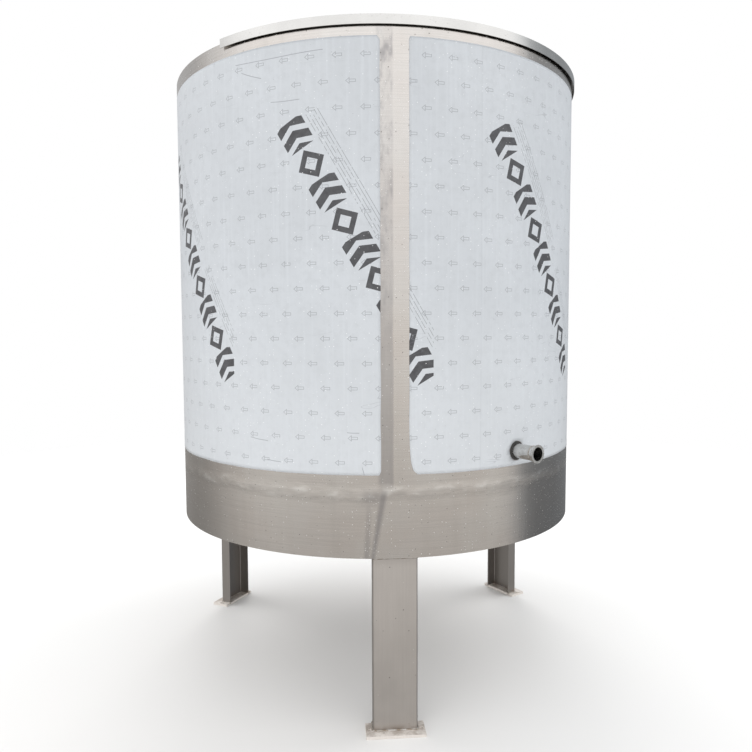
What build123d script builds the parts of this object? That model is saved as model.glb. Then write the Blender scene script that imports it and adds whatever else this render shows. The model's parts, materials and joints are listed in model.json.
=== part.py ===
from build123d import *
import math
import os

# Vertical bulk milk tank. Millimetres. The origin is on the tank's axis at floor level, +Z is up and
# the front leg stands towards -Y. Angles round the tank start at the front leg and grow towards +X.

# Jacket, base and rim
jacket_r = 820.0          # outer radius of the cladding sheets
jacket_t = 2.0            # cladding sheet
rim_z = 2320.0            # top face of the rim
seam_z = 828.0            # weld between the base band and the cladding
band_low_z = 600.0        # lower edge of the base band
base_recess = 12.0        # base plate's underside above the band's lower edge
base_plate_t = 3.0
rim_t = 3.0               # rim ring and deck sheet
film_t = 0.8              # protective film, thickened to a printable solid
film_above_seam = 50.0    # bare band under the film
film_below_rim = 51.0     # bare band over the film
film_strip_w = 93.0       # bare strip over each vertical weld

# Vessel and insulation
insulation_t = 75.0
vessel_t = 3.0
cone_slope = 10.0         # fall of the vessel's bottom, degrees
support_inset = 140.0     # ring that carries the vessel's bottom, inside the vessel's wall
support_t = 6.0
coolant_gap = 6.0         # depth of the evaporator's passage
evaporator_t = 1.5
evaporator_in_r = 120.0
evaporator_edge = 60.0    # evaporator's rim inside the vessel's wall
thermowell_angle = 165.0
thermowell_z = 1250.0
thermowell_r = 7.0
thermowell_bore = 5.0
thermowell_reach = 40.0   # how far the pocket stands into the milk

# Outlet
outlet_angle = 32.4
outlet_z = 929.0
outlet_r = 25.4           # 2 inch tube
outlet_wall = 1.2
outlet_bend = 75.0
outlet_drop = 5.0         # straight drop from the cone before the bend
outlet_stand = 95.0       # ferrule's face outside the cladding
ferrule_flange = 6.6      # flange past the tube
ferrule_step = 1.8        # bore inside the tube's outside
ferrule_len = 21.5
ferrule_lip = 5.0
outlet_seal_w = 7.6       # rubber ring between the tube and the cladding
seal_depth = 10.0
seal_proud = 1.5

# Refrigerant tubes, out through the base band at the back
tube_ring_gap = 40.0      # where the tubes leave the evaporator, outside the support ring
tube_z = 760.0
tube_stand = 25.0         # tubes' ends outside the cladding
tube_wall = 1.0
liquid_angle = 174.0
liquid_r = 6.0
suction_angle = 186.0
suction_r = 11.0
grommet_w = 7.0

# Legs and feet
leg_angles = {"front": 0.0, "right": 120.0, "left": -120.0}
leg_w = 150.0
leg_d = 50.0
leg_t = 5.0
leg_bend = 8.0            # outside radius of the channel's folds
leg_tuck = 5.0            # web's outer face behind the base band
foot_ear = 25.0           # plate past the leg on each side
foot_d = 80.0
foot_t = 10.0
foot_under = 48.0         # plate behind the web's outer face
foot_hole_r = 6.0
foot_hole_edge = 12.0     # hole's centre from the plate's end
foot_hole_under = 8.0     # hole's centre behind the web's outer face

# Deck, lid and hinges. The lid frame has +X towards the middle of the lid and +Y along the hinge line.
lid_angle = 45.0
lid_edge = 25.0           # lid's straight edge past the tank's axis
lid_past = 10.0           # lid's round edge past the cladding
lid_t = 2.0
lid_skirt = 30.0
lid_gap = 0.3             # gasket to rim with the lid shut
gasket_t = 8.7
gasket_in = 10.0          # gasket's inner edge past the vessel's wall
gasket_out = 5.0
gasket_w = 24.0           # gasket strip along the hinge line
deck_edge = 70.0          # fixed deck's straight edge past the tank's axis
beam_w = 80.0
beam_d = 50.0
beam_t = 3.0
hinge_span = 400.0        # each hinge from the middle of the hinge line
hinge_len = 100.0
knuckle_r = 6.0
hinge_pin_r = 3.0
hinge_play = 0.05
knuckle_gap = 0.5
leaf_t = 2.5
leaf_w = 38.0
lid_open = 100.0          # lid's opening angle, degrees
stop_span = 200.0
stop_h = 150.0
stop_t = 8.0
stop_w = 30.0
buffer_r = 12.0
buffer_len = 14.0
handle_out = 560.0        # handle from the tank's axis
handle_len = 160.0
handle_h = 45.0
handle_r = 6.0
handle_bend = 16.0

# Fittings on the fixed deck, in the lid frame
vent_at = (-450.0, -250.0)
vent_r = 30.0
vent_h = 60.0
vent_cap_r = 48.0
wash_at = (-420.0, 330.0)
wash_r = 19.0
wash_wall = 1.5
wash_up = 80.0
wash_down = 170.0
spray_r = 32.0
dip_at = (-300.0, -450.0)
dip_r = 5.0
dip_socket_r = 12.0
dip_socket_h = 30.0
dip_play = 1.0
dip_floor_gap = 12.0
knob_r = 14.0

# Agitator and its gear motor, in the lid frame
drive_x = -170.0          # shaft from the tank's axis
shaft_r = 15.0
run_play = 0.05           # radial running clearance
base_t = 12.0             # plate under the gearbox
base_past = (17.5, 19.5, 22.5)  # plate past the gearbox: in front, behind and at the sides
base_bolt_in = 13.0
bolt_r = 5.0
low_module = 1.5
low_teeth = (72, 12)      # shaft gear and idler pinion
top_teeth = (60, 12)      # idler gear and motor pinion
gear_backlash = 0.35
housing_wall = 6.0
housing_clear = 6.0       # gear tips to housing
housing_h = 80.0
cover_t = 8.0
bearing_h = 10.0
idler_r = 8.0
rotor_shaft_r = 8.0
gear_w = 18.0
gear_gap = 7.0
gear_lift = 8.0           # lower gear above its bearing
motor_r = 60.0
motor_wall = 4.0
motor_h = 142.0
fin_h = 8.0
fin_count = 24
cowl_h = 46.0
fan_blades = 7
paddle_r = 250.0
paddle_z = 1215.0
paddle_h = 90.0
paddle_t = 4.0
paddle_pitch = 45.0
hub_r = 24.0
hub_h = 60.0

# Worked out from the sizes above
BASE = (Align.CENTER, Align.CENTER, Align.MIN)
jacket_in = jacket_r - jacket_t
vessel_out = jacket_in - insulation_t
vessel_in = vessel_out - vessel_t
support_r = vessel_in - support_inset
tube_ring_r = support_r + tube_ring_gap
tube_end_r = jacket_r + tube_stand
ferrule_r = outlet_r + ferrule_flange
ferrule_bore = outlet_r - ferrule_step
leg_face_r = jacket_in - leg_tuck
foot_w = leg_w + 2 * foot_ear
foot_in_r = leg_face_r - foot_under
foot_hole_radial = leg_face_r - foot_hole_under
lid_r = jacket_r + lid_past
base_z = band_low_z + base_recess
base_top = base_z + base_plate_t
slope = math.tan(math.radians(cone_slope))
cone_drop = vessel_t / math.cos(math.radians(cone_slope))
cone_low_z = outlet_z + outlet_bend + outlet_drop
cone_top_z = cone_low_z + (vessel_in - outlet_r) * slope
cone_rim_z = cone_low_z + (vessel_out - outlet_r) * slope - cone_drop
hinge_x = lid_edge - knuckle_r
lid_low_z = rim_z + lid_gap + gasket_t
lid_top_z = lid_low_z + lid_t
hinge_z = lid_top_z + knuckle_r
gear_centres = low_module * sum(low_teeth) / 2
top_module = 2 * gear_centres / sum(top_teeth)
idler_x = drive_x - gear_centres
housing_in = low_module * (low_teeth[0] / 2 + 1) + housing_clear
housing_out = housing_in + housing_wall
base_front = housing_out + base_past[0]
base_back = gear_centres + housing_out + base_past[1]
base_half = housing_out + base_past[2]
gear_low_z = rim_z + base_t + housing_wall + bearing_h + gear_lift
gear_top_z = gear_low_z + gear_w + gear_gap
motor_z = rim_z + base_t + housing_h + cover_t


def around(angle):
    """Turns a piece built on +X to its place round the tank."""
    return Rot(0, 0, angle - 90)


def lid_frame(piece):
    return around(lid_angle) * piece


def disc(radius, low, high):
    return Pos(0, 0, low) * Cylinder(radius, high - low, align=BASE)


def tube(outer, inner, low, high):
    return disc(outer, low, high) - disc(inner, low, high)


def block(x_low, x_high, y_low, y_high, z_low, z_high):
    corner = (Align.MIN, Align.MIN, Align.MIN)
    size = Box(x_high - x_low, y_high - y_low, z_high - z_low, align=corner)
    return Pos(x_low, y_low, z_low) * size


def beyond(x_low):
    """Everything past a line of the lid frame, for cutting discs to a D."""
    return block(x_low, 2 * jacket_r, -2 * jacket_r, 2 * jacket_r, 0, 2 * rim_z)


def turned(points):
    """Solid of revolution about the tank's axis from (radius, height) points."""
    return revolve(Plane.XZ * make_face(Polyline(*points, close=True)), Axis.Z)


def radial(radius, start, end, height):
    """Round bar along +X at a height."""
    bar = Cylinder(radius, end - start, align=BASE)
    return Pos(start, 0, height) * Rot(0, 90, 0) * bar


def cone_z(radius):
    """Height of the vessel's sloping floor."""
    return cone_low_z + (radius - outlet_r) * slope


def bent_tube(points, radius, bend, wall=None):
    """Tube along straight runs joined by arcs; solid where no wall is given."""
    path = FilletPolyline(*points, radius=bend)
    start = Vector(*points[0])
    section = Circle(radius) - Circle(radius - wall) if wall else Circle(radius)
    plane = Plane(origin=start, z_dir=Vector(*points[1]) - start)
    return sweep(plane * section, path=path)


# Holes through the walls -------------------------------------------------------------------------

def outlet_hole():
    return around(outlet_angle) * radial(outlet_r + outlet_seal_w, vessel_out, jacket_r + 2 * seal_depth,
                                         outlet_z)


def thermowell_hole():
    return around(thermowell_angle) * radial(thermowell_r, 0.5 * vessel_in, 2 * jacket_r, thermowell_z)


def grommet_outline(angle, radius, low, high):
    """Square block round a refrigerant tube, for its rubber grommet and for the hole in the band."""
    half = radius + grommet_w
    return around(angle) * block(low, high, -half, half, tube_z - half, tube_z + half)


def tube_holes():
    liquid = grommet_outline(liquid_angle, liquid_r, vessel_out, 2 * jacket_r)
    suction = grommet_outline(suction_angle, suction_r, vessel_out, 2 * jacket_r)
    return liquid + suction


# Base and cladding -------------------------------------------------------------------------------

def base_band():
    return tube(jacket_r, jacket_in, band_low_z, seam_z) - tube_holes()


def jacket_half(side):
    """Half of the cladding, butted to the other at the front and the back; side is -1 or 1."""
    whole = tube(jacket_r, jacket_in, seam_z, rim_z)
    half = block(0, 2 * jacket_r, -2 * jacket_r, 2 * jacket_r, 0, 2 * rim_z)
    if side < 0:
        half = mirror(half, about=Plane.YZ)
    return (whole & half) - outlet_hole() - thermowell_hole()


def film_half(side):
    whole = tube(jacket_r + film_t, jacket_r, seam_z + film_above_seam, rim_z - film_below_rim)
    half = block(film_strip_w / 2, 2 * jacket_r, -2 * jacket_r, 2 * jacket_r, 0, 2 * rim_z)
    if side < 0:
        half = mirror(half, about=Plane.YZ)
    return (whole & half) - outlet_hole() - thermowell_hole()


def base_plate():
    return disc(jacket_in, base_z, base_top)


def rim_ring():
    return tube(jacket_in, vessel_out, rim_z - rim_t, rim_z)


def leg(angle):
    """Folded channel, web outwards, standing on its foot plate."""
    outer = RectangleRounded(2 * leg_d, leg_w, leg_bend)
    inner = RectangleRounded(2 * (leg_d - leg_t), leg_w - 2 * leg_t, leg_bend - leg_t)
    profile = Pos(-leg_d, 0) * (outer - inner)
    profile = profile & (Pos(-leg_d / 2, 0) * Rectangle(leg_d, leg_w))
    channel = extrude(profile, base_z - foot_t, dir=(0, 0, 1))
    return around(angle) * Pos(leg_face_r, 0, foot_t) * channel


def foot_plate(angle):
    plate = block(foot_in_r, foot_in_r + foot_d, -foot_w / 2, foot_w / 2, 0, foot_t)
    for side in (-1, 1):
        hole_y = side * (foot_w / 2 - foot_hole_edge)
        plate -= Pos(foot_hole_radial, hole_y, 0) * disc(foot_hole_r, 0, foot_t)
    return around(angle) * plate


# Vessel, cooling and insulation ------------------------------------------------------------------

def vessel_wall():
    return tube(vessel_out, vessel_in, cone_top_z, rim_z) - thermowell_hole()


def vessel_bottom():
    return turned([
        (outlet_r, cone_low_z),
        (vessel_in, cone_top_z),
        (vessel_out, cone_top_z),
        (vessel_out, cone_rim_z),
        (outlet_r, cone_low_z - cone_drop),
    ])


def cone_band(low_r, high_r, top, low):
    """Ring under the vessel's bottom, between two distances below the sloping floor."""
    return turned([
        (low_r, cone_z(low_r) - top),
        (high_r, cone_z(high_r) - top),
        (high_r, cone_z(high_r) - low),
        (low_r, cone_z(low_r) - low),
    ])


def evaporator_outline():
    depth = cone_drop + coolant_gap + evaporator_t
    return cone_band(evaporator_in_r, vessel_in - evaporator_edge, cone_drop, depth)


def evaporator_plate():
    passage = cone_band(evaporator_in_r + coolant_gap, vessel_in - evaporator_edge - coolant_gap,
                        cone_drop, cone_drop + coolant_gap)
    return evaporator_outline() - passage


def below_cone():
    """Space under the vessel's bottom, down to the base plate."""
    low = turned([
        (0, base_top),
        (jacket_in, base_top),
        (jacket_in, cone_rim_z),
        (vessel_out, cone_rim_z),
        (outlet_r, cone_low_z - cone_drop),
        (0, cone_low_z - cone_drop),
    ])
    return low - evaporator_outline()


def support_ring():
    return (tube(support_r, support_r - support_t, base_top, rim_z) & below_cone()) - outlet_cut()


def outlet_cut():
    """The outlet tube's own outline, for holes that fit it."""
    start = (0, 0, cone_low_z)
    corner = (0, 0, outlet_z)
    end = (jacket_r + outlet_stand, 0, outlet_z)
    return around(outlet_angle) * bent_tube([start, corner, end], outlet_r, outlet_bend)


def base_insulation():
    """Foam layer sprayed under the vessel's bottom, inside and outside the support ring."""
    foam = below_cone() & turned([
        (0, cone_low_z - cone_drop - insulation_t),
        (outlet_r, cone_low_z - cone_drop - insulation_t),
        (jacket_in, cone_z(jacket_in) - cone_drop - insulation_t),
        (jacket_in, rim_z),
        (0, rim_z),
    ])
    foam -= tube(support_r, support_r - support_t, base_top, rim_z)
    foam -= outlet_cut()
    return foam - tube_cut(liquid_angle, liquid_r) - tube_cut(suction_angle, suction_r)


def wall_insulation():
    foam = tube(jacket_in, vessel_out, cone_rim_z, rim_z - rim_t)
    return foam - thermowell_hole()


def thermowell():
    pocket = radial(thermowell_r, vessel_in - thermowell_reach, jacket_r + seal_proud, thermowell_z)
    bore = radial(thermowell_bore, vessel_in - thermowell_reach + 2, 2 * jacket_r, thermowell_z)
    return around(thermowell_angle) * (pocket - bore)


def tube_points():
    top = cone_z(tube_ring_r)
    return [(tube_ring_r, 0, top), (tube_ring_r, 0, tube_z), (tube_end_r, 0, tube_z)]


def tube_cut(angle, radius):
    return (around(angle) * bent_tube(tube_points(), radius, 3 * radius)) & below_cone()


def refrigerant_tube(angle, radius):
    whole = around(angle) * bent_tube(tube_points(), radius, 3 * radius, tube_wall)
    upper = disc(jacket_in, tube_z, 2 * rim_z) - below_cone()
    return whole - (upper & disc(support_r + 2 * evaporator_edge, tube_z + 4 * radius, 2 * rim_z))


def wall_seals():
    """Rubber round each tube where it comes through the sheet: a ring and two square grommets."""
    low = jacket_in - seal_depth
    high = jacket_r + seal_proud
    ring = radial(outlet_r + outlet_seal_w, low, high, outlet_z) - radial(outlet_r, low, high, outlet_z)
    seals = [around(outlet_angle) * ring]
    for angle, radius in ((liquid_angle, liquid_r), (suction_angle, suction_r)):
        hole = around(angle) * radial(radius, low, high, tube_z)
        seals.append(grommet_outline(angle, radius, low, high) - hole)
    return seals


# Outlet ------------------------------------------------------------------------------------------

def outlet_pipe():
    end = jacket_r + outlet_stand - ferrule_len
    points = [(0, 0, cone_low_z), (0, 0, outlet_z), (end, 0, outlet_z)]
    return around(outlet_angle) * bent_tube(points, outlet_r, outlet_bend, outlet_wall)


def outlet_ferrule():
    """Clamp ferrule, butt welded to the outlet tube."""
    face = jacket_r + outlet_stand
    profile = make_face(Polyline(
        (face - ferrule_len, ferrule_bore),
        (face - ferrule_len, outlet_r),
        (face - 2 * ferrule_lip, outlet_r),
        (face - ferrule_lip, ferrule_r - 2),
        (face - ferrule_lip + 2, ferrule_r),
        (face, ferrule_r),
        (face, ferrule_bore),
        close=True,
    ))
    ring = revolve(Plane.XY * profile, Axis.X)
    return around(outlet_angle) * Pos(0, 0, outlet_z) * ring


# Deck and lid ------------------------------------------------------------------------------------

def drive_outline(low, high):
    return Pos(drive_x, 0, 0) * disc(shaft_r + run_play, low, high)


def fixed_deck():
    deck = disc(vessel_in, rim_z - rim_t, rim_z) - beyond(deck_edge)
    deck -= drive_outline(rim_z - rim_t, rim_z)
    for (x, y), radius in ((vent_at, vent_r), (wash_at, wash_r), (dip_at, dip_r + dip_play)):
        deck -= Pos(x, y, 0) * disc(radius, rim_z - rim_t, rim_z)
    for x, y in base_bolt_places():
        deck -= Pos(x, y, 0) * disc(bolt_r, rim_z - rim_t, rim_z)
    return lid_frame(deck)


def bridge_beam():
    top = rim_z - rim_t
    start = deck_edge - beam_w
    low = top - beam_d
    beam = block(start, deck_edge, -jacket_r, jacket_r, low, top)
    hollow = block(start + beam_t, deck_edge - beam_t, -jacket_r, jacket_r, low + beam_t, top - beam_t)
    return lid_frame((beam - hollow) & disc(vessel_in, 0, rim_z))


def lid():
    """Half lid: a flat sheet with a turned-down skirt that stands clear of the cladding."""
    sheet = disc(lid_r, lid_low_z, lid_top_z)
    skirt = tube(lid_r, lid_r - lid_t, lid_top_z - lid_skirt, lid_low_z)
    return lid_frame((sheet + skirt) & beyond(lid_edge))


def lid_gasket():
    start = lid_edge + gasket_in
    low = rim_z + lid_gap
    outer = disc(jacket_in - gasket_out, low, lid_low_z) & beyond(start)
    inner = disc(vessel_out + gasket_in, low, lid_low_z) & beyond(start + gasket_w)
    return lid_frame(outer - inner)


def lid_handle():
    half = handle_len / 2
    top = lid_top_z + handle_h - handle_r
    points = [
        (handle_out, -half, lid_top_z),
        (handle_out, -half, top),
        (handle_out, half, top),
        (handle_out, half, lid_top_z),
    ]
    return lid_frame(bent_tube(points, handle_r, handle_bend))


def knuckle(y_low, y_high, bore):
    bar = Cylinder(knuckle_r, y_high - y_low, align=BASE) - Cylinder(bore, y_high - y_low, align=BASE)
    return Pos(hinge_x, y_low, hinge_z) * Rot(-90, 0, 0) * bar


def hinge_middles():
    return (-hinge_span, hinge_span)


def hinge_deck_leaves():
    """Flat leaf on the deck with a riser to its two outer knuckles."""
    leaves = []
    third = hinge_len / 3
    for middle in hinge_middles():
        low = middle - hinge_len / 2
        back = hinge_x - knuckle_r
        leaf = block(back - leaf_w, back + leaf_t, low, low + hinge_len, rim_z, rim_z + leaf_t)
        for start in (low, low + 2 * third):
            leaf += block(back, back + leaf_t, start, start + third, rim_z, hinge_z)
            leaf += knuckle(start, start + third, hinge_pin_r)
        bore = Cylinder(hinge_pin_r, hinge_len, align=BASE)
        leaf -= Pos(hinge_x, low, hinge_z) * Rot(-90, 0, 0) * bore
        leaves.append(lid_frame(leaf))
    return leaves


def hinge_lid_leaves():
    """Flat leaf on the lid with the middle knuckle."""
    leaves = []
    third = hinge_len / 3
    for middle in hinge_middles():
        low = middle - hinge_len / 2
        start = middle - third / 2 + knuckle_gap
        end = middle + third / 2 - knuckle_gap
        edge = hinge_x + knuckle_r
        leaf = block(edge + 1, edge + leaf_w, low, low + hinge_len, lid_top_z, lid_top_z + leaf_t)
        leaf += block(hinge_x, edge + 2, start, end, lid_top_z, lid_top_z + leaf_t)
        leaf += knuckle(start, end, hinge_pin_r + hinge_play)
        bore = Cylinder(hinge_pin_r + hinge_play, hinge_len, align=BASE)
        leaf -= Pos(hinge_x, low, hinge_z) * Rot(-90, 0, 0) * bore
        leaves.append(lid_frame(leaf))
    return leaves


def hinge_pins():
    pins = []
    for middle in hinge_middles():
        low = middle - hinge_len / 2
        pin = Pos(hinge_x, low, hinge_z) * Rot(-90, 0, 0) * Cylinder(hinge_pin_r, hinge_len, align=BASE)
        head = Cylinder(knuckle_r - 1, 2, align=BASE)
        pin += Pos(hinge_x, low - 2, hinge_z) * Rot(-90, 0, 0) * head
        pins.append(lid_frame(pin))
    return pins


def open_place(along, above):
    """A point of the lid at its open stop: along the sheet from the hinge, above its top face."""
    turn = math.radians(lid_open)
    up = above - knuckle_r
    x = along * math.cos(turn) - up * math.sin(turn)
    z = along * math.sin(turn) + up * math.cos(turn)
    return hinge_x + x, hinge_z + z


def stop_front():
    """Front face of the stop posts, behind the open lid and the buffers' length."""
    top_x, _ = open_place(stop_h, lid_gap + buffer_len)
    return top_x


def lid_stops():
    stops = []
    front = stop_front()
    back = front - stop_t
    for y in (-stop_span, stop_span):
        low = y - stop_w / 2
        high = y + stop_w / 2
        post = block(back, front, low, high, rim_z, rim_z + stop_h + 2 * buffer_r)
        foot = block(back - stop_w, front, low, high, rim_z, rim_z + stop_t / 2)
        stops.append(lid_frame(post + foot))
    return stops


def stop_buffers():
    """Rubber buffers square to the open lid, cut off flat at the posts."""
    buffers = []
    face_x, face_z = open_place(stop_h - hinge_z + rim_z + buffer_r, lid_gap)
    behind = beyond(stop_front())
    for y in (-stop_span, stop_span):
        bar = Cylinder(buffer_r, 2 * buffer_len, align=BASE)
        buffer = Pos(face_x, y, face_z) * Rot(0, -lid_open, 0) * bar
        buffers.append(lid_frame(buffer & behind))
    return buffers


# Fittings on the deck ----------------------------------------------------------------------------

def vent_neck():
    return lid_frame(Pos(*vent_at, 0) * tube(vent_r, vent_r - 2, rim_z - rim_t, rim_z + vent_h))


def vent_cap():
    """Rain cap on three pegs that stand on the neck's mouth."""
    top = rim_z + vent_h + 20
    cap = tube(vent_cap_r, vent_cap_r - 2, top - 30, top) + disc(vent_cap_r, top, top + 2)
    for turn in (0, 120, 240):
        cap += Rot(0, 0, turn) * Pos(vent_r - 1, 0, 0) * block(-1, 1, -4, 4, rim_z + vent_h, top)
    return lid_frame(Pos(*vent_at, 0) * cap)


def wash_pipe():
    """Wash tube through the deck, with a clamp ferrule on top."""
    top = rim_z + wash_up
    outer = disc(wash_r, rim_z - wash_down, top) + disc(wash_r + 6, top - ferrule_lip, top)
    return lid_frame(Pos(*wash_at, 0) * (outer - disc(wash_r - wash_wall, rim_z - wash_down, top)))


def spray_ball():
    centre = rim_z - wash_down - spray_r + 6
    ball = Sphere(spray_r) - Sphere(spray_r - 2)
    for turn in range(0, 360, 30):
        for tilt in (-30, 0, 30):
            ball -= Rot(0, tilt, turn) * radial(1.5, spray_r / 2, 2 * spray_r, 0)
    ball = Pos(0, 0, centre) * ball
    return lid_frame(Pos(*wash_at, 0) * (ball - disc(wash_r, rim_z - wash_down, rim_z)))


def dipstick_socket():
    return lid_frame(Pos(*dip_at, 0) * tube(dip_socket_r, dip_r + dip_play, rim_z, rim_z + dip_socket_h))


def dipstick():
    floor = cone_z(math.hypot(*dip_at) + dip_r) + dip_floor_gap
    seat = rim_z + dip_socket_h + lid_gap
    rod = disc(dip_r, floor, seat + knob_r)
    knob = disc(knob_r, seat, seat + knob_r)
    knob = fillet(knob.edges().group_by(Axis.Z)[-1], 4)
    return lid_frame(Pos(*dip_at, 0) * (rod + knob))


# Gear motor and agitator -------------------------------------------------------------------------

def base_bolt_places():
    front = drive_x + base_front - base_bolt_in
    back = drive_x - base_back + base_bolt_in
    side = base_half - base_bolt_in
    return [(x, y) for x in (front, back) for y in (-side, side)]


def agitator_base():
    plate = block(drive_x - base_back, drive_x + base_front, -base_half, base_half, rim_z, rim_z + base_t)
    plate -= drive_outline(rim_z, rim_z + base_t)
    for x, y in base_bolt_places():
        plate -= Pos(x, y, 0) * disc(bolt_r, rim_z, rim_z + base_t)
    return lid_frame(plate)


def hex_bolt(x, y, seat, length, radius):
    head = extrude(RegularPolygon(1.7 * radius, 6), 1.3 * radius)
    bolt = Pos(x, y, seat) * head
    return bolt + Pos(x, y, 0) * disc(radius, seat - length, seat)


def base_bolts():
    seat = rim_z + base_t
    return [lid_frame(hex_bolt(x, y, seat, base_t + rim_t + 6, bolt_r)) for x, y in base_bolt_places()]


def capsule(reach, low, high):
    """Upright prism round both gear axes."""
    prism = Pos((drive_x + idler_x) / 2, 0, low) * Box(gear_centres, 2 * reach, high - low, align=BASE)
    for x in (drive_x, idler_x):
        prism += Pos(x, 0, 0) * disc(reach, low, high)
    return prism


def bearing_places():
    """Each bearing's axis, bore, outside radius and lower face."""
    floor = rim_z + base_t + housing_wall
    top = rim_z + base_t + housing_h
    return (
        (drive_x, shaft_r, 2 * shaft_r, floor),
        (idler_x, idler_r, 2 * idler_r, floor),
        (idler_x, idler_r, 2 * idler_r, top - bearing_h),
        (drive_x, rotor_shaft_r, 2 * rotor_shaft_r, top - bearing_h + cover_t),
        (drive_x, rotor_shaft_r, 2 * rotor_shaft_r, motor_z + motor_h - bearing_h),
    )


def bearings():
    rings = []
    for x, bore, outer, low in bearing_places():
        rings.append(lid_frame(Pos(x, 0, 0) * tube(outer, bore + run_play, low, low + bearing_h)))
    return rings


def bearing_seats(wanted, thick):
    """Rings that hold the chosen bearings."""
    seats = []
    for index in wanted:
        x, _, outer, low = bearing_places()[index]
        seats.append(Pos(x, 0, 0) * tube(outer + thick, outer, low, low + bearing_h))
    return seats


def gearbox_housing():
    low = rim_z + base_t
    high = low + housing_h
    shell = capsule(housing_out, low, high)
    shell -= capsule(housing_in, low + housing_wall, high)
    shell -= drive_outline(low, low + housing_wall)
    for seat in bearing_seats((0, 1), 4):
        shell += seat
    return lid_frame(shell)


def cover_bolt_places():
    """Round the idler's end, clear of the motor's flange."""
    ring = housing_in + housing_wall / 2
    turns = [math.radians(turn) for turn in (90, 150, 210, 270)]
    return [(idler_x + ring * math.cos(turn), ring * math.sin(turn)) for turn in turns]


def gearbox_cover():
    low = rim_z + base_t + housing_h
    cover = capsule(housing_out, low, low + cover_t)
    x, _, outer, start = bearing_places()[3]
    cover -= Pos(x, 0, 0) * disc(outer, low, low + cover_t)
    for seat in bearing_seats((2,), 4):
        cover += seat
    return lid_frame(cover)


def cover_screws():
    seat = rim_z + base_t + housing_h + cover_t
    return [lid_frame(Pos(x, y, 0) * disc(3.5, seat, seat + 5)) for x, y in cover_bolt_places()]


def tooth_flank(pitch, base, tip, thickness):
    """Involute flank points from the base circle to the tip, as (radius, half angle) pairs."""
    at_pitch = math.sqrt((pitch / base) ** 2 - 1)
    centre = thickness / (2 * pitch) + at_pitch - math.atan(at_pitch)
    flank = []
    for step in range(5):
        radius = base + (tip - base) * step / 4
        roll = math.sqrt(max((radius / base) ** 2 - 1, 0))
        flank.append((radius, centre - roll + math.atan(roll)))
    return flank


def spur_gear(teeth, module, low, width, shaft, turn):
    """Gear with 20 degree involute teeth; a tooth points along turn."""
    pitch = module * teeth / 2
    root = pitch - 1.25 * module
    tip = pitch + 0.8 * module
    base = max(pitch * math.cos(math.radians(20)), root + 0.05)
    flank = tooth_flank(pitch, base, tip, math.pi * module / 2 - gear_backlash)
    points = []
    for tooth in range(teeth):
        middle = math.radians(turn) + 2 * math.pi * tooth / teeth
        side = [(root, flank[0][1])] + flank
        for radius, angle in side:
            points.append((radius * math.cos(middle - angle), radius * math.sin(middle - angle)))
        for radius, angle in reversed(side):
            points.append((radius * math.cos(middle + angle), radius * math.sin(middle + angle)))
    blank = extrude(make_face(Polyline(*points, close=True)), width, dir=(0, 0, 1))
    gear = Pos(0, 0, low) * blank
    return gear - disc(shaft, low, low + width) if shaft else gear


def shaft_gear():
    gear = spur_gear(low_teeth[0], low_module, gear_low_z, gear_w, shaft_r, 180)
    return lid_frame(Pos(drive_x, 0, 0) * gear)


def idler_shaft():
    """Layshaft with its pinion cut in one piece."""
    low = rim_z + base_t + housing_wall
    high = rim_z + base_t + housing_h
    pinion = spur_gear(low_teeth[1], low_module, gear_low_z - 1, gear_w + 2, 0, 180 / low_teeth[1])
    shaft = disc(idler_r, low, gear_low_z - 1) + disc(idler_r, gear_low_z + gear_w + 1, high)
    return lid_frame(Pos(idler_x, 0, 0) * (shaft + pinion))


def idler_gear():
    gear = spur_gear(top_teeth[0], top_module, gear_top_z, gear_w, idler_r, 0)
    return lid_frame(Pos(idler_x, 0, 0) * gear)


def motor_rotor():
    """Rotor core on its shaft, with the motor pinion cut on the lower end."""
    pinion = spur_gear(top_teeth[1], top_module, gear_top_z - 1, gear_w + 2, 0, 180 + 180 / top_teeth[1])
    shaft = disc(rotor_shaft_r, gear_top_z + gear_w + 1, motor_z + motor_h + cowl_h / 2)
    core = disc(motor_r - motor_wall - 22, motor_z + 24, motor_z + motor_h - 24)
    return lid_frame(Pos(drive_x, 0, 0) * (shaft + pinion + core))


def stator():
    inner = motor_r - motor_wall - 21
    pack = tube(motor_r - motor_wall, inner, motor_z + 20, motor_z + motor_h - 20)
    return lid_frame(Pos(drive_x, 0, 0) * pack)


def motor_housing():
    """Finned barrel with a foot flange below and an end shield above."""
    inner = motor_r - motor_wall
    top = motor_z + motor_h
    seat = 2 * rotor_shaft_r
    barrel = tube(motor_r, inner, motor_z, top) + tube(motor_r + fin_h, inner, motor_z, motor_z + 8)
    barrel += tube(motor_r + fin_h - 2, inner, top - 14, top)
    barrel += tube(inner, seat, top - bearing_h, top)
    for index in range(fin_count):
        fin = block(motor_r - 1, motor_r + fin_h, -1.5, 1.5, motor_z + 8, top - 14)
        barrel += Rot(0, 0, 360 * index / fin_count) * fin
    return lid_frame(Pos(drive_x, 0, 0) * barrel)


def motor_fan():
    low = motor_z + motor_h + 8
    fan = tube(14, rotor_shaft_r, low, low + 14)
    for index in range(fan_blades):
        fan += Rot(0, 0, 360 * index / fan_blades) * block(13, motor_r - 8, -1, 1, low, low + 14)
    return lid_frame(Pos(drive_x, 0, 0) * fan)


def fan_cowl():
    """Sheet cowl over the end shield, with radial air slots in its top."""
    low = motor_z + motor_h - 14
    high = motor_z + motor_h + cowl_h
    cowl = tube(motor_r + fin_h, motor_r + fin_h - 2, low, high) + disc(motor_r + fin_h, high, high + 2)
    for index in range(16):
        cowl -= Rot(0, 0, 22.5 * index) * block(16, 52, -2, 2, high, high + 2)
    return lid_frame(Pos(drive_x, 0, 0) * cowl)


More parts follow.
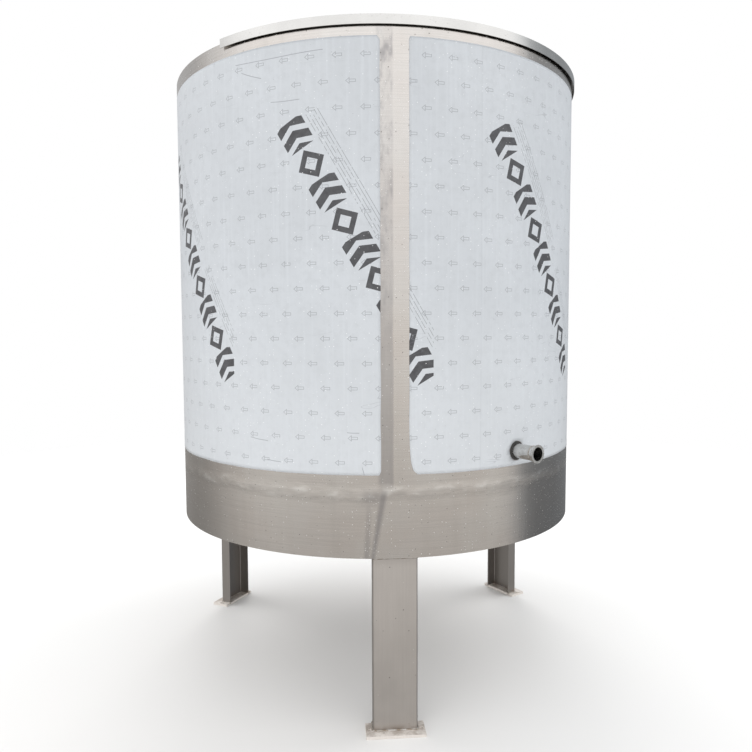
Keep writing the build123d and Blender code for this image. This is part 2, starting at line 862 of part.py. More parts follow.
def terminal_outline():
    """Terminal box's corner values: back face against the fins, half width, low and high."""
    back = drive_x - motor_r - fin_h
    return back, 45.0, motor_z + 30, motor_z + 110


def terminal_box():
    back, half, low, high = terminal_outline()
    box = block(back - 46, back, -half, half, low, high)
    hollow = block(back - 46, back - 4, -half + 3, half - 3, low + 3, high - 3)
    gland = Pos(back - 23, 0, 0) * disc(8, low, low + 3)
    return lid_frame(box - hollow - gland)


def terminal_lid():
    back, half, low, high = terminal_outline()
    return lid_frame(block(back - 50, back - 46, -half, half, low, high))


def cable_gland():
    back, _, low, _ = terminal_outline()
    gland = tube(8, 4, low - 16, low + 8) + tube(12, 8, low - 10, low)
    return lid_frame(Pos(back - 23, 0, 0) * gland)


def agitator_shaft():
    top = gear_low_z + gear_w + 2
    return lid_frame(Pos(drive_x, 0, 0) * disc(shaft_r, paddle_z - hub_h / 2, top))


def agitator_paddle():
    """Two pitched blades welded to a hub."""
    paddle = disc(hub_r, paddle_z - hub_h / 2, paddle_z + hub_h / 2)
    for turn in (0, 180):
        blade = block(0, paddle_r, -paddle_t / 2, paddle_t / 2, -paddle_h / 2, paddle_h / 2)
        blade = Rot(paddle_pitch, 0, 0) * blade
        paddle += Rot(0, 0, turn) * Pos(0, 0, paddle_z) * blade
    return lid_frame(Pos(drive_x, 0, 0) * (paddle - disc(shaft_r, 0, rim_z)))


def tank_pieces():
    pieces = {
        "base_band": base_band(),
        "jacket_left": jacket_half(-1),
        "jacket_right": jacket_half(1),
        "film_left": film_half(-1),
        "film_right": film_half(1),
        "base_plate": base_plate(),
        "rim_ring": rim_ring(),
        "vessel_wall": vessel_wall(),
        "vessel_bottom": vessel_bottom(),
        "evaporator_plate": evaporator_plate(),
        "support_ring": support_ring(),
        "wall_insulation": wall_insulation(),
        "base_insulation": base_insulation(),
        "thermowell": thermowell(),
        "liquid_tube": refrigerant_tube(liquid_angle, liquid_r),
        "suction_tube": refrigerant_tube(suction_angle, suction_r),
        "wall_seals": wall_seals(),
        "outlet_pipe": outlet_pipe(),
        "outlet_ferrule": outlet_ferrule(),
    }
    for name, angle in leg_angles.items():
        pieces["leg_" + name] = leg(angle)
        pieces["foot_plate_" + name] = foot_plate(angle)
    return pieces


def top_pieces():
    return {
        "fixed_deck": fixed_deck(),
        "bridge_beam": bridge_beam(),
        "lid": lid(),
        "lid_gasket": lid_gasket(),
        "lid_handle": lid_handle(),
        "hinge_deck_leaves": hinge_deck_leaves(),
        "hinge_lid_leaves": hinge_lid_leaves(),
        "hinge_pins": hinge_pins(),
        "lid_stops": lid_stops(),
        "stop_buffers": stop_buffers(),
        "vent_neck": vent_neck(),
        "vent_cap": vent_cap(),
        "wash_pipe": wash_pipe(),
        "spray_ball": spray_ball(),
        "dipstick_socket": dipstick_socket(),
        "dipstick": dipstick(),
    }


def drive_pieces():
    return {
        "agitator_base": agitator_base(),
        "base_bolts": base_bolts(),
        "gearbox_housing": gearbox_housing(),
        "gearbox_cover": gearbox_cover(),
        "cover_screws": cover_screws(),
        "bearings": bearings(),
        "shaft_gear": shaft_gear(),
        "idler_shaft": idler_shaft(),
        "idler_gear": idler_gear(),
        "motor_rotor": motor_rotor(),
        "stator": stator(),
        "motor_housing": motor_housing(),
        "motor_fan": motor_fan(),
        "fan_cowl": fan_cowl(),
        "terminal_box": terminal_box(),
        "terminal_lid": terminal_lid(),
        "cable_gland": cable_gland(),
        "agitator_shaft": agitator_shaft(),
        "agitator_paddle": agitator_paddle(),
    }


os.makedirs("parts", exist_ok=True)
for group in (tank_pieces(), top_pieces(), drive_pieces()):
    for name, shape in group.items():
        if isinstance(shape, list):
            shape = Compound(children=shape)
        export_step(shape, os.path.join("parts", name + ".step"))
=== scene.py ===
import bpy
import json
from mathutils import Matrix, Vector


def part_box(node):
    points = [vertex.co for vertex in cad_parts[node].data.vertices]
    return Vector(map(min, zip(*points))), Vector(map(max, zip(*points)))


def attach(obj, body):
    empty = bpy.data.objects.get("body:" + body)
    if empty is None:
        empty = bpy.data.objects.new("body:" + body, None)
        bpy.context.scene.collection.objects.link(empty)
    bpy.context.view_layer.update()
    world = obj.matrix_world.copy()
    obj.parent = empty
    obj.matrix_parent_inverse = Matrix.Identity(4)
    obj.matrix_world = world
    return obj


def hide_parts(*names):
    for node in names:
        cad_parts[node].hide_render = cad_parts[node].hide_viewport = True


bl_info = {
    "name": "Bulk milk tank looks",
    "version": (1, 0, 0),
    "blender": (4, 5, 0),
    "location": "View3D > Sidebar > Milk tank",
    "description": "Finishes, protective film, welds and screws of an insulated bulk milk tank",
    "category": "Object",
}

import json
import math

import bmesh
import bpy
from bpy.props import FloatProperty, FloatVectorProperty, IntProperty, PointerProperty
from mathutils import Matrix, Vector, noise

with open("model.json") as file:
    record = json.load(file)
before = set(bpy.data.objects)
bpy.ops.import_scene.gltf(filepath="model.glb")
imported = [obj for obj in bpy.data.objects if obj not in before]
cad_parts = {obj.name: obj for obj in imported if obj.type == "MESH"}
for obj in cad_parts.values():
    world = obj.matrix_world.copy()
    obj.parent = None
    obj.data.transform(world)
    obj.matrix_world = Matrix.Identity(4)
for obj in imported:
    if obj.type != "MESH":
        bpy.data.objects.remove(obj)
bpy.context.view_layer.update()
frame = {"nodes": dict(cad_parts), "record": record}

# Places read from the frame, in metres. Angles start at the front leg (-Y) and grow towards +X.
JACKET_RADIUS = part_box("base_band")[1][0]
SEAM_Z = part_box("base_band")[1][2]
BAND_LOW_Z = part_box("base_band")[0][2]
RIM_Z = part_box("rim_ring")[1][2]
FILM_LOW_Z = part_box("film_left")[0][2]
FILM_HIGH_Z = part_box("film_left")[1][2]
STRIP_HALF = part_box("film_right")[0][0]
FOOT_TOP_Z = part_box("foot_plate_front")[1][2]
LEG_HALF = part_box("leg_front")[1][0]
LEG_FACE = -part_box("leg_front")[0][1]
LEG_BACK = -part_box("leg_front")[1][1]
MOUNTS = {mount["name"]: mount for mount in frame["record"]["mounts"]}
OUTLET_OUT = Vector(MOUNTS["outlet_face"]["axis"])
OUTLET_Z = MOUNTS["outlet_bore"]["pos_m"][2]
OUTLET_ANGLE = math.atan2(OUTLET_OUT.x, -OUTLET_OUT.y)
OUTLET_END = OUTLET_OUT.dot(Vector(MOUNTS["outlet_face"]["pos_m"]))
MM = 0.001


# ---- Properties ---------------------------------------------------------------------------------

class TankFinish(bpy.types.PropertyGroup):
    """Colours and textures of the tank's own surfaces"""

    steel_colour: FloatVectorProperty(
        name="Steel", description="Reflection colour of the brushed cladding",
        subtype="COLOR", size=3, min=0, max=1, default=(0.60, 0.575, 0.55))
    leg_colour: FloatVectorProperty(
        name="Leg steel", description="Reflection colour of the folded legs",
        subtype="COLOR", size=3, min=0, max=1, default=(0.52, 0.49, 0.465))
    film_colour: FloatVectorProperty(
        name="Film", description="Colour of the protective film",
        subtype="COLOR", size=3, min=0, max=1, default=(0.590, 0.618, 0.650))
    print_colour: FloatVectorProperty(
        name="Film print", description="Ink of the marks on the film",
        subtype="COLOR", size=3, min=0, max=1, default=(0.055, 0.055, 0.06))
    drive_colour: FloatVectorProperty(
        name="Gear motor", description="Paint of the agitator's gear motor",
        subtype="COLOR", size=3, min=0, max=1, default=(0.05, 0.12, 0.22))
    roughness: FloatProperty(
        name="Steel roughness", description="Roughness of the brushed cladding",
        min=0.05, max=1, default=0.24)


class FilmShape(bpy.types.PropertyGroup):
    """Sizes of the protective film and its print"""

    step: FloatProperty(
        name="Mesh step", description="Spacing of the film's mesh",
        unit="LENGTH", min=0.004, default=0.012)
    thickness: FloatProperty(
        name="Thickness", description="Thickness of the film",
        unit="LENGTH", min=0.0001, default=0.0002)
    wobble: FloatProperty(
        name="Edge wobble", description="How far the hand-cut edges wander",
        unit="LENGTH", min=0, default=0.0012)
    flare: FloatProperty(
        name="Corner flare", description="How far the right sheet's lower corner is cut back",
        unit="LENGTH", min=0, default=0.021)
    arrow_pitch: FloatProperty(
        name="Arrow pitch", description="Spacing of the arrows in a row",
        unit="LENGTH", min=0.02, default=0.090)
    arrow_row: FloatProperty(
        name="Arrow row", description="Spacing of the rows of arrows",
        unit="LENGTH", min=0.02, default=0.081)
    mark_pitch: FloatProperty(
        name="Mark pitch", description="Spacing of the bold diagonal marks round the tank",
        unit="LENGTH", min=0.2, default=0.742)


class WeldShape(bpy.types.PropertyGroup):
    """Sizes of the weld beads"""

    ripple: FloatProperty(
        name="Ripple", description="Distance between the ripples of a bead",
        unit="LENGTH", min=0.001, default=0.0032)
    bead: FloatProperty(
        name="Bead", description="Half width of a fillet bead",
        unit="LENGTH", min=0.001, default=0.0042)


class ScrewShape(bpy.types.PropertyGroup):
    """Sizes of the small screws"""

    hinge_head: FloatProperty(
        name="Hinge screw", description="Head radius of the hinge screws",
        unit="LENGTH", min=0.001, default=0.0045)
    sides: IntProperty(
        name="Sides", description="Facets round a screw head", min=6, default=16)


class StageLight(bpy.types.PropertyGroup):
    """Camera, floor and daylight"""

    sky: FloatProperty(
        name="Sky", description="Brightness of the surroundings", min=0, default=1.0)
    fill: FloatProperty(
        name="Fill", description="Power of the soft lamps at the sides and the back, in watts",
        min=0, default=170.0)
    ground_colour: FloatVectorProperty(
        name="Ground", description="Tint of the light from below",
        subtype="COLOR", size=3, min=0, max=1, default=(1.0, 0.975, 0.94))
    floor_colour: FloatVectorProperty(
        name="Floor", description="Colour of the pale floor",
        subtype="COLOR", size=3, min=0, max=1, default=(0.80, 0.79, 0.775))
    floor_radius: FloatProperty(
        name="Floor radius", description="Where the floor has faded out",
        unit="LENGTH", min=1, default=6.5)
    lens: FloatProperty(
        name="Lens", description="Focal length on a 36 mm sensor, in millimetres", min=10, default=32.49)


# ---- Shader maths -------------------------------------------------------------------------------

class Value:
    """A number socket that Python's operators turn into Math nodes"""

    def __init__(self, finish, socket):
        self.finish = finish
        self.socket = socket

    def maths(self, operation, *others, first=None):
        values = [self] + list(others) if first is None else [first, self]
        return self.finish.maths(operation, *values)

    def __add__(self, other):
        return self.maths("ADD", other)

    __radd__ = __add__

    def __sub__(self, other):
        return self.maths("SUBTRACT", other)

    def __rsub__(self, other):
        return self.maths("SUBTRACT", first=other)

    def __mul__(self, other):
        return self.maths("MULTIPLY", other)

    __rmul__ = __mul__

    def __truediv__(self, other):
        return self.maths("DIVIDE", other)

    def __abs__(self):
        return self.maths("ABSOLUTE")

    def least(self, other):
        return self.maths("MINIMUM", other)

    def most(self, other):
        return self.maths("MAXIMUM", other)

    def below(self, other):
        return self.maths("LESS_THAN", other)

    def above(self, other):
        return self.maths("GREATER_THAN", other)

    def whole(self):
        return self.maths("FLOOR")

    def wrapped(self, size):
        """Remainder that stays positive on both sides of zero"""
        return self.maths("FLOORED_MODULO", size)

    def stepped(self, low, high):
        """Smooth step from 0 at low to 1 at high"""
        node = self.finish.node("ShaderNodeMapRange", {"interpolation_type": "SMOOTHSTEP"},
                                {"Value": self, "From Min": low, "From Max": high})
        return Value(self.finish, node.outputs["Result"])


class Finish:
    """A node tree under construction: a material's or the world's"""

    def __init__(self, tree):
        self.tree = tree
        self.tree.nodes.clear()

    def node(self, kind, settings=None, values=None):
        """Adds a node: its settings first, then the values or links of its sockets"""
        made = self.tree.nodes.new(kind)
        for name, setting in (settings or {}).items():
            if name == "stops":
                self.set_stops(made.color_ramp, setting)
            else:
                setattr(made, name, setting)
        for name, value in (values or {}).items():
            self.join(made.inputs[name], value)
        return made

    def set_stops(self, ramp, stops):
        ramp.elements.remove(ramp.elements[1])
        ramp.elements[0].position = stops[0][0]
        ramp.elements[0].color = stops[0][1]
        for place, colour in stops[1:]:
            ramp.elements.new(place).color = colour

    def join(self, socket, value):
        if isinstance(value, Value):
            self.tree.links.new(value.socket, socket)
        elif isinstance(value, bpy.types.NodeSocket):
            self.tree.links.new(value, socket)
        else:
            socket.default_value = value

    def maths(self, operation, *values):
        node = self.node("ShaderNodeMath", {"operation": operation})
        for socket, value in zip(node.inputs, values):
            self.join(socket, value)
        return Value(self, node.outputs["Value"])

    def place(self):
        """Object coordinates, and their three numbers"""
        coordinates = self.node("ShaderNodeTexCoord").outputs["Object"]
        parts = self.node("ShaderNodeSeparateXYZ", values={"Vector": coordinates})
        return [coordinates] + [Value(self, parts.outputs[axis]) for axis in "XYZ"]

    def round_tank(self, x, y):
        """Distance round the cladding from the front leg"""
        return self.maths("ARCTAN2", x, -1 * y) * JACKET_RADIUS

    def length(self, x, y):
        return self.maths("SQRT", x * x + y * y)

    def facing_up(self):
        """Upright part of the surface's direction"""
        facing = self.node("ShaderNodeNewGeometry").outputs["Normal"]
        parts = self.node("ShaderNodeSeparateXYZ", values={"Vector": facing})
        return Value(self, parts.outputs["Z"])

    def vector(self, x, y, z=0.0):
        return self.node("ShaderNodeCombineXYZ", values={"X": x, "Y": y, "Z": z}).outputs["Vector"]

    def clouds(self, vector, scale, detail=2.0, rough=0.5):
        values = {"Vector": vector, "Scale": scale, "Detail": detail, "Roughness": rough}
        return Value(self, self.node("ShaderNodeTexNoise", values=values).outputs["Fac"])

    def dots(self, vector, scale, radius, share, seed=0.0, flat=False):
        """Round specks: one in some of the cells of a jittered grid, with its own size"""
        shifted = self.node("ShaderNodeVectorMath", {"operation": "ADD"})
        self.join(shifted.inputs[0], vector)
        self.join(shifted.inputs[1], (seed, seed, seed))
        cells = self.node("ShaderNodeTexVoronoi", {"voronoi_dimensions": "2D" if flat else "3D"},
                          {"Vector": shifted.outputs["Vector"], "Scale": scale})
        colour = self.node("ShaderNodeSeparateColor", values={"Color": cells.outputs["Color"]})
        chosen = Value(self, colour.outputs["Red"]).below(share)
        size = Value(self, colour.outputs["Green"]) * 0.7 + 0.5
        distance = Value(self, cells.outputs["Distance"]) / size
        return (1 - distance.stepped(radius * 0.5, radius)) * chosen

    def tint(self, factor, first, second):
        """Mixes two colours by a factor"""
        mix = self.node("ShaderNodeMix", {"data_type": "RGBA"})
        self.join(mix.inputs[0], factor)
        self.join(mix.inputs[6], self.opaque(first))
        self.join(mix.inputs[7], self.opaque(second))
        return mix.outputs[2]

    def layers(self, colour, *coats):
        """Lays colours over one another, each by its own factor"""
        for factor, over in coats:
            colour = self.tint(factor, colour, over)
        return colour

    def opaque(self, colour):
        if isinstance(colour, (bpy.types.NodeSocket, Value)):
            return colour
        return tuple(colour)[:3] + (1.0,)

    def bump(self, height, distance, strength=1.0, normal=None):
        values = {"Height": height, "Distance": distance, "Strength": strength}
        node = self.node("ShaderNodeBump", values=values)
        if normal is not None:
            self.join(node.inputs["Normal"], normal)
        return node.outputs["Normal"]

    def relief(self, normal, *waves):
        """Adds bumps to a normal, each by its height, its distance and its strength"""
        for height, distance, strength in waves:
            normal = self.bump(height, distance, strength, normal)
        return normal

    def soft_edges(self, radius):
        return self.node("ShaderNodeBevel", {"samples": 4}, {"Radius": radius}).outputs["Normal"]

    def surface(self, colour, **values):
        """The closing Principled shader"""
        values["Base Color"] = self.opaque(colour)
        shader = self.node("ShaderNodeBsdfPrincipled", values=values)
        output = self.node("ShaderNodeOutputMaterial")
        self.join(output.inputs["Surface"], shader.outputs["BSDF"])


def new_finish(name):
    material = bpy.data.materials.new(name)
    material.use_nodes = True
    return material, Finish(material.node_tree)


# ---- Steel finishes -----------------------------------------------------------------------------

def grain_lines(finish, along, across, length=0.12, width=0.0006):
    """Fine scratches that run along one direction, with a coarser set over them"""
    fine = finish.clouds(finish.vector(along / length, across / width), 1.0, 2.0, 0.6)
    coarse = finish.clouds(finish.vector(along / (3 * length), across / (7 * width), 4.0), 1.0, 3.0, 0.65)
    return fine * 0.4 + coarse * 0.6


def water_specks(finish, vector, share=0.35, seed=0.0, scale=46.0):
    """Dried drops: dark dots and a few bright ones"""
    crowd = finish.clouds(vector, 3.5, 2.0, 0.5).stepped(0.35, 0.65) * 0.8 + 0.4
    dark = finish.dots(vector, scale, 0.14, crowd * share, seed)
    bright = finish.dots(vector, scale * 1.3, 0.12, crowd * (share * 0.6), seed + 7.3)
    return dark, bright


def ground_streaks(finish, s, z, wander):
    """The band's own weld, ground by hand: two slanting dark streaks, a smudge and drops between them"""
    down = (SEAM_Z - z) / (SEAM_Z - BAND_LOW_Z)
    below = down.stepped(-0.06, 0.10)
    main = abs(s + 0.038 + down * 0.036 + wander * 0.010)
    main = 1 - (main + down * 0.005).stepped(0.003, 0.019)
    side = 1 - abs(s + 0.086 + down * 0.008 + wander * 0.008).stepped(0.002, 0.015)
    smudge = 1 - abs(s + 0.070 + wander * 0.03).stepped(0.020, 0.048)
    smudge = smudge * (1 - abs(down - 0.08).stepped(0.03, 0.22))
    wet = 1 - abs(s + 0.066 + down * 0.020).stepped(0.012, 0.032)
    drops = finish.dots(finish.vector(s, z), 140.0, 0.16, 0.20, 2.0, True) * wet * below
    return (main * 0.75).most(side * (down * 0.45 + 0.10)).most(smudge * 0.45) * below, drops


def cladding_steel(tones):
    """Brushed cladding with its ground seams, bare strip and dried drops"""
    material, finish = new_finish("cladding_steel")
    _, x, y, z = finish.place()
    s = finish.round_tank(x, y)
    flat = finish.vector(s, z)
    grain = grain_lines(finish, s, z)
    brushed = finish.clouds(finish.vector(s / 0.35, z / 0.0045), 1.0, 3.0, 0.75)
    upright = grain_lines(finish, z, s, 0.07, 0.0035)
    stripes = finish.clouds(finish.vector(s / 0.075, z / 1.6, 2.0), 1.0, 3.0, 0.6)
    blotch = finish.clouds(flat, 3.2, 4.0, 0.6)
    wander = finish.clouds(finish.vector(s, z, 3.0), 7.0, 3.0, 0.6) - 0.5
    above = z.stepped(SEAM_Z - 0.01, SEAM_Z + 0.03)

    # Horizontal seam between band and cladding, ground by hand in soft wandering patches
    seam = 1 - abs(z - SEAM_Z + 0.012 + wander * 0.05).stepped(0.002, 0.032)
    seam_patch = finish.clouds(finish.vector(s, z * 2.0, 5.0), 11.0, 2.5, 0.55)
    pale = seam * seam_patch.stepped(0.50, 0.68)
    dull = seam * (1 - seam_patch.stepped(0.34, 0.46))

    # Upright weld under the peeled strip: ground darker on its left half
    edge = s + wander * 0.008
    left_half = (1 - edge.stepped(-0.010, -0.002)) * edge.stepped(-0.064, -0.046) * above
    lower = 1 - z.stepped(0.95, 2.15)
    smears = finish.clouds(finish.vector(s / 0.05, z / 0.11, 8.0), 1.0, 3.0, 0.7).stepped(0.43, 0.72)
    strip_dark = left_half * ((upright * 0.55 + 0.30) * (lower * 0.60 + 0.22) + smears * (1 - lower) * 0.62)
    streak, drops = ground_streaks(finish, s, z, wander)

    shade = s.stepped(0.50, 0.75)
    dark = finish.dots(flat, 46.0, 0.085, (blotch + 0.2) * 0.26, 0.0, True)
    bright = finish.dots(flat, 70.0, 0.11, (blotch + shade * 1.2) * 0.34, 7.3, True)
    colour = tones.steel_colour
    shaded = [part * share for part, share in zip(colour, (0.95, 0.92, 0.90))]
    tone = finish.tint(blotch.stepped(0.3, 0.7), shaded, colour)
    tone = finish.layers(
        tone,
        (stripes.stepped(0.45, 0.75) * 0.22, (0.70, 0.69, 0.66)),
        ((1 - stripes.stepped(0.25, 0.45)) * 0.16, (0.40, 0.39, 0.36)),
        (grain.stepped(0.35, 0.70) * 0.22, (0.42, 0.41, 0.39)),
        (brushed.stepped(0.42, 0.70) * 0.17, (0.36, 0.35, 0.33)),
        (pale * 0.42, (0.90, 0.89, 0.87)),
        (dull * 0.20, (0.34, 0.33, 0.32)),
        (strip_dark, (0.27, 0.26, 0.265)),
        (streak * 0.75, (0.22, 0.21, 0.22)),
        (dark * 0.75, (0.10, 0.09, 0.08)),
        ((bright * 0.75).most(drops * 0.85), (1.0, 1.0, 0.99)))

    roughness = grain * 0.10 + brushed * 0.06 + (tones.roughness - 0.14) + blotch * 0.06 + seam * 0.08
    roughness = roughness + strip_dark * 0.20 + streak * 0.15 + (dark + bright) * 0.2
    oil_can = finish.clouds(finish.vector(s * 0.8, z * 1.3, 9.0), 2.3, 2.0, 0.4)
    normal = finish.relief(
        None,
        (oil_can, 0.010, 0.30),
        (stripes, 0.0030, 0.20),
        (seam_patch * seam, 0.0035, 0.45),
        (grain * 0.6 + brushed * 0.4, 0.0004, 0.35),
        (dark + bright + drops, 0.0006, 0.5))
    finish.surface(tone, Metallic=1.0, Roughness=roughness, Anisotropic=0.55, Normal=normal)
    return material


def sheet_steel(name, colour, roughness, flow, specks):
    """Brushed sheet: the grain runs round the tank or straight across"""
    material, finish = new_finish(name)
    vector, x, y, z = finish.place()
    if flow == "round":
        along = finish.round_tank(x, y)
        across = z + finish.length(x, y)
    else:
        along, across = (x + y) * math.sqrt(0.5), (x - y) * math.sqrt(0.5)
    grain = grain_lines(finish, along, across)
    if flow == "across":
        level = abs(finish.facing_up())
        grain = grain * level + (1 - level) * 0.4
    blotch = finish.clouds(vector, 4.0, 4.0, 0.6)
    dark, bright = water_specks(finish, vector, specks, 3.0, 110.0 if flow == "across" else 70.0)
    shaded = [part * 0.88 for part in colour]
    tone = finish.tint(blotch.stepped(0.32, 0.68), shaded, colour)
    tone = finish.layers(
        tone,
        (grain.stepped(0.35, 0.70) * 0.22, [part * 0.68 for part in colour]),
        (dark * 0.60, (0.17, 0.16, 0.15)),
        (bright * 0.40, (0.96, 0.96, 0.95)))
    rough = grain * 0.15 + blotch * 0.10 + (roughness - 0.12) + dark * 0.15
    waves = finish.clouds(vector, 3.0, 2.0, 0.5)
    normal = finish.relief(
        None,
        (waves, 0.006, 0.25),
        (grain, 0.0003, 0.4),
        (dark + bright, 0.0006, 0.5))
    finish.surface(tone, Metallic=1.0, Roughness=rough, Normal=normal)
    return material


def leg_steel(tones):
    """Folded channel and plate: upright grain, weld tarnish near the foot, spatter and drops, painted light
    higher up, painted shade on the rear legs and just under the band
    """
    material, finish = new_finish("leg_steel")
    vector, x, y, z = finish.place()
    grain = grain_lines(finish, z, x + y * 0.7, 0.10, 0.0009)
    blotch = finish.clouds(vector, 5.0, 4.0, 0.6)
    cloudy = finish.clouds(vector, 26.0, 4.0, 0.65)
    dark, bright = water_specks(finish, vector, 0.34, 5.0)
    heat = (1 - (z + (cloudy - 0.5) * 0.016).stepped(0.012, 0.034)) * z.above(0.0095)
    # Painted shade just under the band's lower edge, at the tops of the legs
    under_band_shade = (z + (cloudy - 0.5) * 0.02).stepped(BAND_LOW_Z - 0.035, BAND_LOW_Z - 0.004)
    plate = z.below(FOOT_TOP_Z + 0.0004)
    # Painted light: the legs are painted lighter towards their tops
    raised = z.stepped(0.05, BAND_LOW_Z)
    colour = tones.leg_colour
    tone = finish.tint(blotch.stepped(0.3, 0.7), [part * 0.9 for part in colour], colour)
    tone = finish.layers(
        tone,
        (raised * 0.45, [part * 1.32 for part in colour]),
        # Painted shade: the rear legs are painted darker than the front leg
        ((y + 0.2).stepped(0.0, 0.3) * 0.72, [part * 0.45 for part in colour]),
        (plate, (0.82, 0.77, 0.72)),
        (grain.stepped(0.35, 0.7) * 0.16, [part * 0.72 for part in colour]),
        (heat * cloudy.stepped(0.35, 0.65) * 0.55, (0.26, 0.20, 0.15)),
        (under_band_shade * 0.25, (0.34, 0.31, 0.29)),
        (dark * 0.55, (0.12, 0.11, 0.10)),
        (bright * 0.25, (0.9, 0.9, 0.88)))
    rough = grain * 0.12 + blotch * 0.14 + 0.30 + heat * 0.15 + dark * 0.15
    normal = finish.soft_edges(0.0012)
    normal = finish.relief(
        normal,
        (finish.clouds(vector, 4.0, 2.0, 0.5), 0.004, 0.25),
        (grain, 0.00030, 0.35),
        (dark + bright, 0.0006, 0.5))
    finish.surface(tone, Metallic=1 - plate * 0.75, Roughness=rough + plate * 0.15, Normal=normal)
    return material


def fitting_steel():
    """Turned and polished fittings with light handling marks"""
    material, finish = new_finish("fitting_steel")
    vector, x, y, z = finish.place()
    marks = finish.clouds(vector, 60.0, 4.0, 0.65)
    turned = finish.clouds(finish.vector(x * 30.0, y * 30.0, z * 700.0), 1.0, 2.0, 0.5)
    dark, bright = water_specks(finish, vector, 0.20, 11.0)
    tone = finish.tint(marks.stepped(0.35, 0.7), (0.52, 0.51, 0.49), (0.68, 0.675, 0.66))
    tone = finish.tint(dark * 0.4, tone, (0.2, 0.18, 0.16))
    rough = marks * 0.16 + turned * 0.06 + 0.14 + dark * 0.2
    normal = finish.soft_edges(0.0008)
    normal = finish.relief(
        normal,
        (turned * 0.4 + marks * 0.6, 0.0004, 0.3),
        (dark + bright, 0.0005, 0.4))
    finish.surface(tone, Metallic=1.0, Roughness=rough, Normal=normal)
    return material


def bead_steel():
    """Weld metal: rippled, straw and grey"""
    material, finish = new_finish("weld_bead")
    vector, _, _, _ = finish.place()
    cloudy = finish.clouds(vector, 90.0, 3.0, 0.6)
    tone = finish.tint(cloudy.stepped(0.35, 0.65), (0.30, 0.25, 0.20), (0.56, 0.54, 0.51))
    normal = finish.bump(cloudy, 0.0004, 0.4)
    finish.surface(tone, Metallic=1.0, Roughness=cloudy * 0.2 + 0.28, Normal=normal)
    return material


def gear_steel():
    material, finish = new_finish("gear_steel")
    vector, x, y, z = finish.place()
    cut = finish.clouds(finish.vector(x * 20.0, y * 20.0, z * 1500.0), 1.0, 2.0, 0.5)
    oil = finish.clouds(vector, 30.0, 3.0, 0.6)
    tone = finish.tint(oil.stepped(0.4, 0.7), (0.30, 0.29, 0.27), (0.50, 0.49, 0.48))
    normal = finish.bump(cut, 0.0003, 0.4)
    finish.surface(tone, Metallic=1.0, Roughness=oil * 0.2 + 0.18, Normal=normal)
    return material


# ---- Other finishes -----------------------------------------------------------------------------

def painted(name, colour, roughness=0.36):
    """Sprayed paint with orange peel, dust on top and softened edges"""
    material, finish = new_finish(name)
    vector, _, _, z = finish.place()
    peel = finish.clouds(vector, 420.0, 2.0, 0.5)
    dust = finish.clouds(vector, 16.0, 4.0, 0.6)
    settled = finish.facing_up().stepped(0.3, 1.0) * dust.stepped(0.35, 0.7) * 0.45
    tone = finish.tint(dust.stepped(0.3, 0.7), [part * 0.82 for part in colour], colour)
    tone = finish.tint(settled, tone, (0.42, 0.41, 0.39))
    normal = finish.soft_edges(0.001)
    normal = finish.bump(peel, 0.0002, 0.35, normal)
    finish.surface(tone, Roughness=dust * 0.15 + roughness - 0.08 + settled * 0.3, Normal=normal)
    return material


def soft_rubber(name, colour, roughness=0.62):
    material, finish = new_finish(name)
    vector, _, _, _ = finish.place()
    mould = finish.clouds(vector, 260.0, 3.0, 0.6)
    chalk = finish.clouds(vector, 24.0, 4.0, 0.65)
    tone = finish.tint(chalk.stepped(0.4, 0.75) * 0.6, colour, [part * 0.8 + 0.06 for part in colour])
    normal = finish.bump(mould, 0.0003, 0.4)
    finish.surface(tone, Roughness=chalk * 0.2 + roughness - 0.1, Normal=normal)
    return material


def sprayed_foam():
    """Cut polyurethane foam: open cells and pale skin"""
    material, finish = new_finish("sprayed_foam")
    vector, _, _, _ = finish.place()
    cells = finish.node("ShaderNodeTexVoronoi", values={"Vector": vector, "Scale": 320.0})
    cells = cells.outputs["Distance"]
    skin = finish.clouds(vector, 12.0, 4.0, 0.6)
    tone = finish.tint(skin.stepped(0.3, 0.7), (0.80, 0.68, 0.38), (0.88, 0.80, 0.55))
    tone = finish.tint(Value(finish, cells).stepped(0.25, 0.7) * 0.4, tone, (0.62, 0.50, 0.25))
    normal = finish.bump(cells, 0.0015, 0.6)
    finish.surface(tone, Roughness=skin * 0.1 + 0.8, Normal=normal)
    return material


def drawn_copper():
    material, finish = new_finish("drawn_copper")
    vector, _, _, _ = finish.place()
    tarnish = finish.clouds(vector, 40.0, 4.0, 0.65)
    tone = finish.tint(tarnish.stepped(0.35, 0.7), (0.80, 0.43, 0.28), (0.40, 0.19, 0.12))
    normal = finish.bump(tarnish, 0.0003, 0.3)
    finish.surface(tone, Metallic=1.0, Roughness=tarnish * 0.3 + 0.16, Normal=normal)
    return material


def motor_winding():
    material, finish = new_finish("motor_winding")
    vector, x, y, z = finish.place()
    layers = finish.clouds(finish.vector(x * 15.0, y * 15.0, z * 900.0), 1.0, 2.0, 0.5)
    tone = finish.tint(layers.stepped(0.35, 0.65), (0.30, 0.12, 0.05), (0.55, 0.27, 0.12))
    normal = finish.bump(layers, 0.0005, 0.5)
    finish.surface(tone, Metallic=0.7, Roughness=layers * 0.2 + 0.3, Normal=normal)
    return material


# ---- Protective film ----------------------------------------------------------------------------

# The side of each sheet, its node, and where its arrows and its marks start round the tank
FILM_SHEETS = ((-1, "film_left", -0.0915, -0.350), (1, "film_right", 0.103, 0.365))
FILM_HOLE = 0.0335

# Height of the top row of arrows, and how far an odd row is shifted, in half pitches
ARROW_TOP_Z = 2.2142
ARROW_SHIFT = 1.04

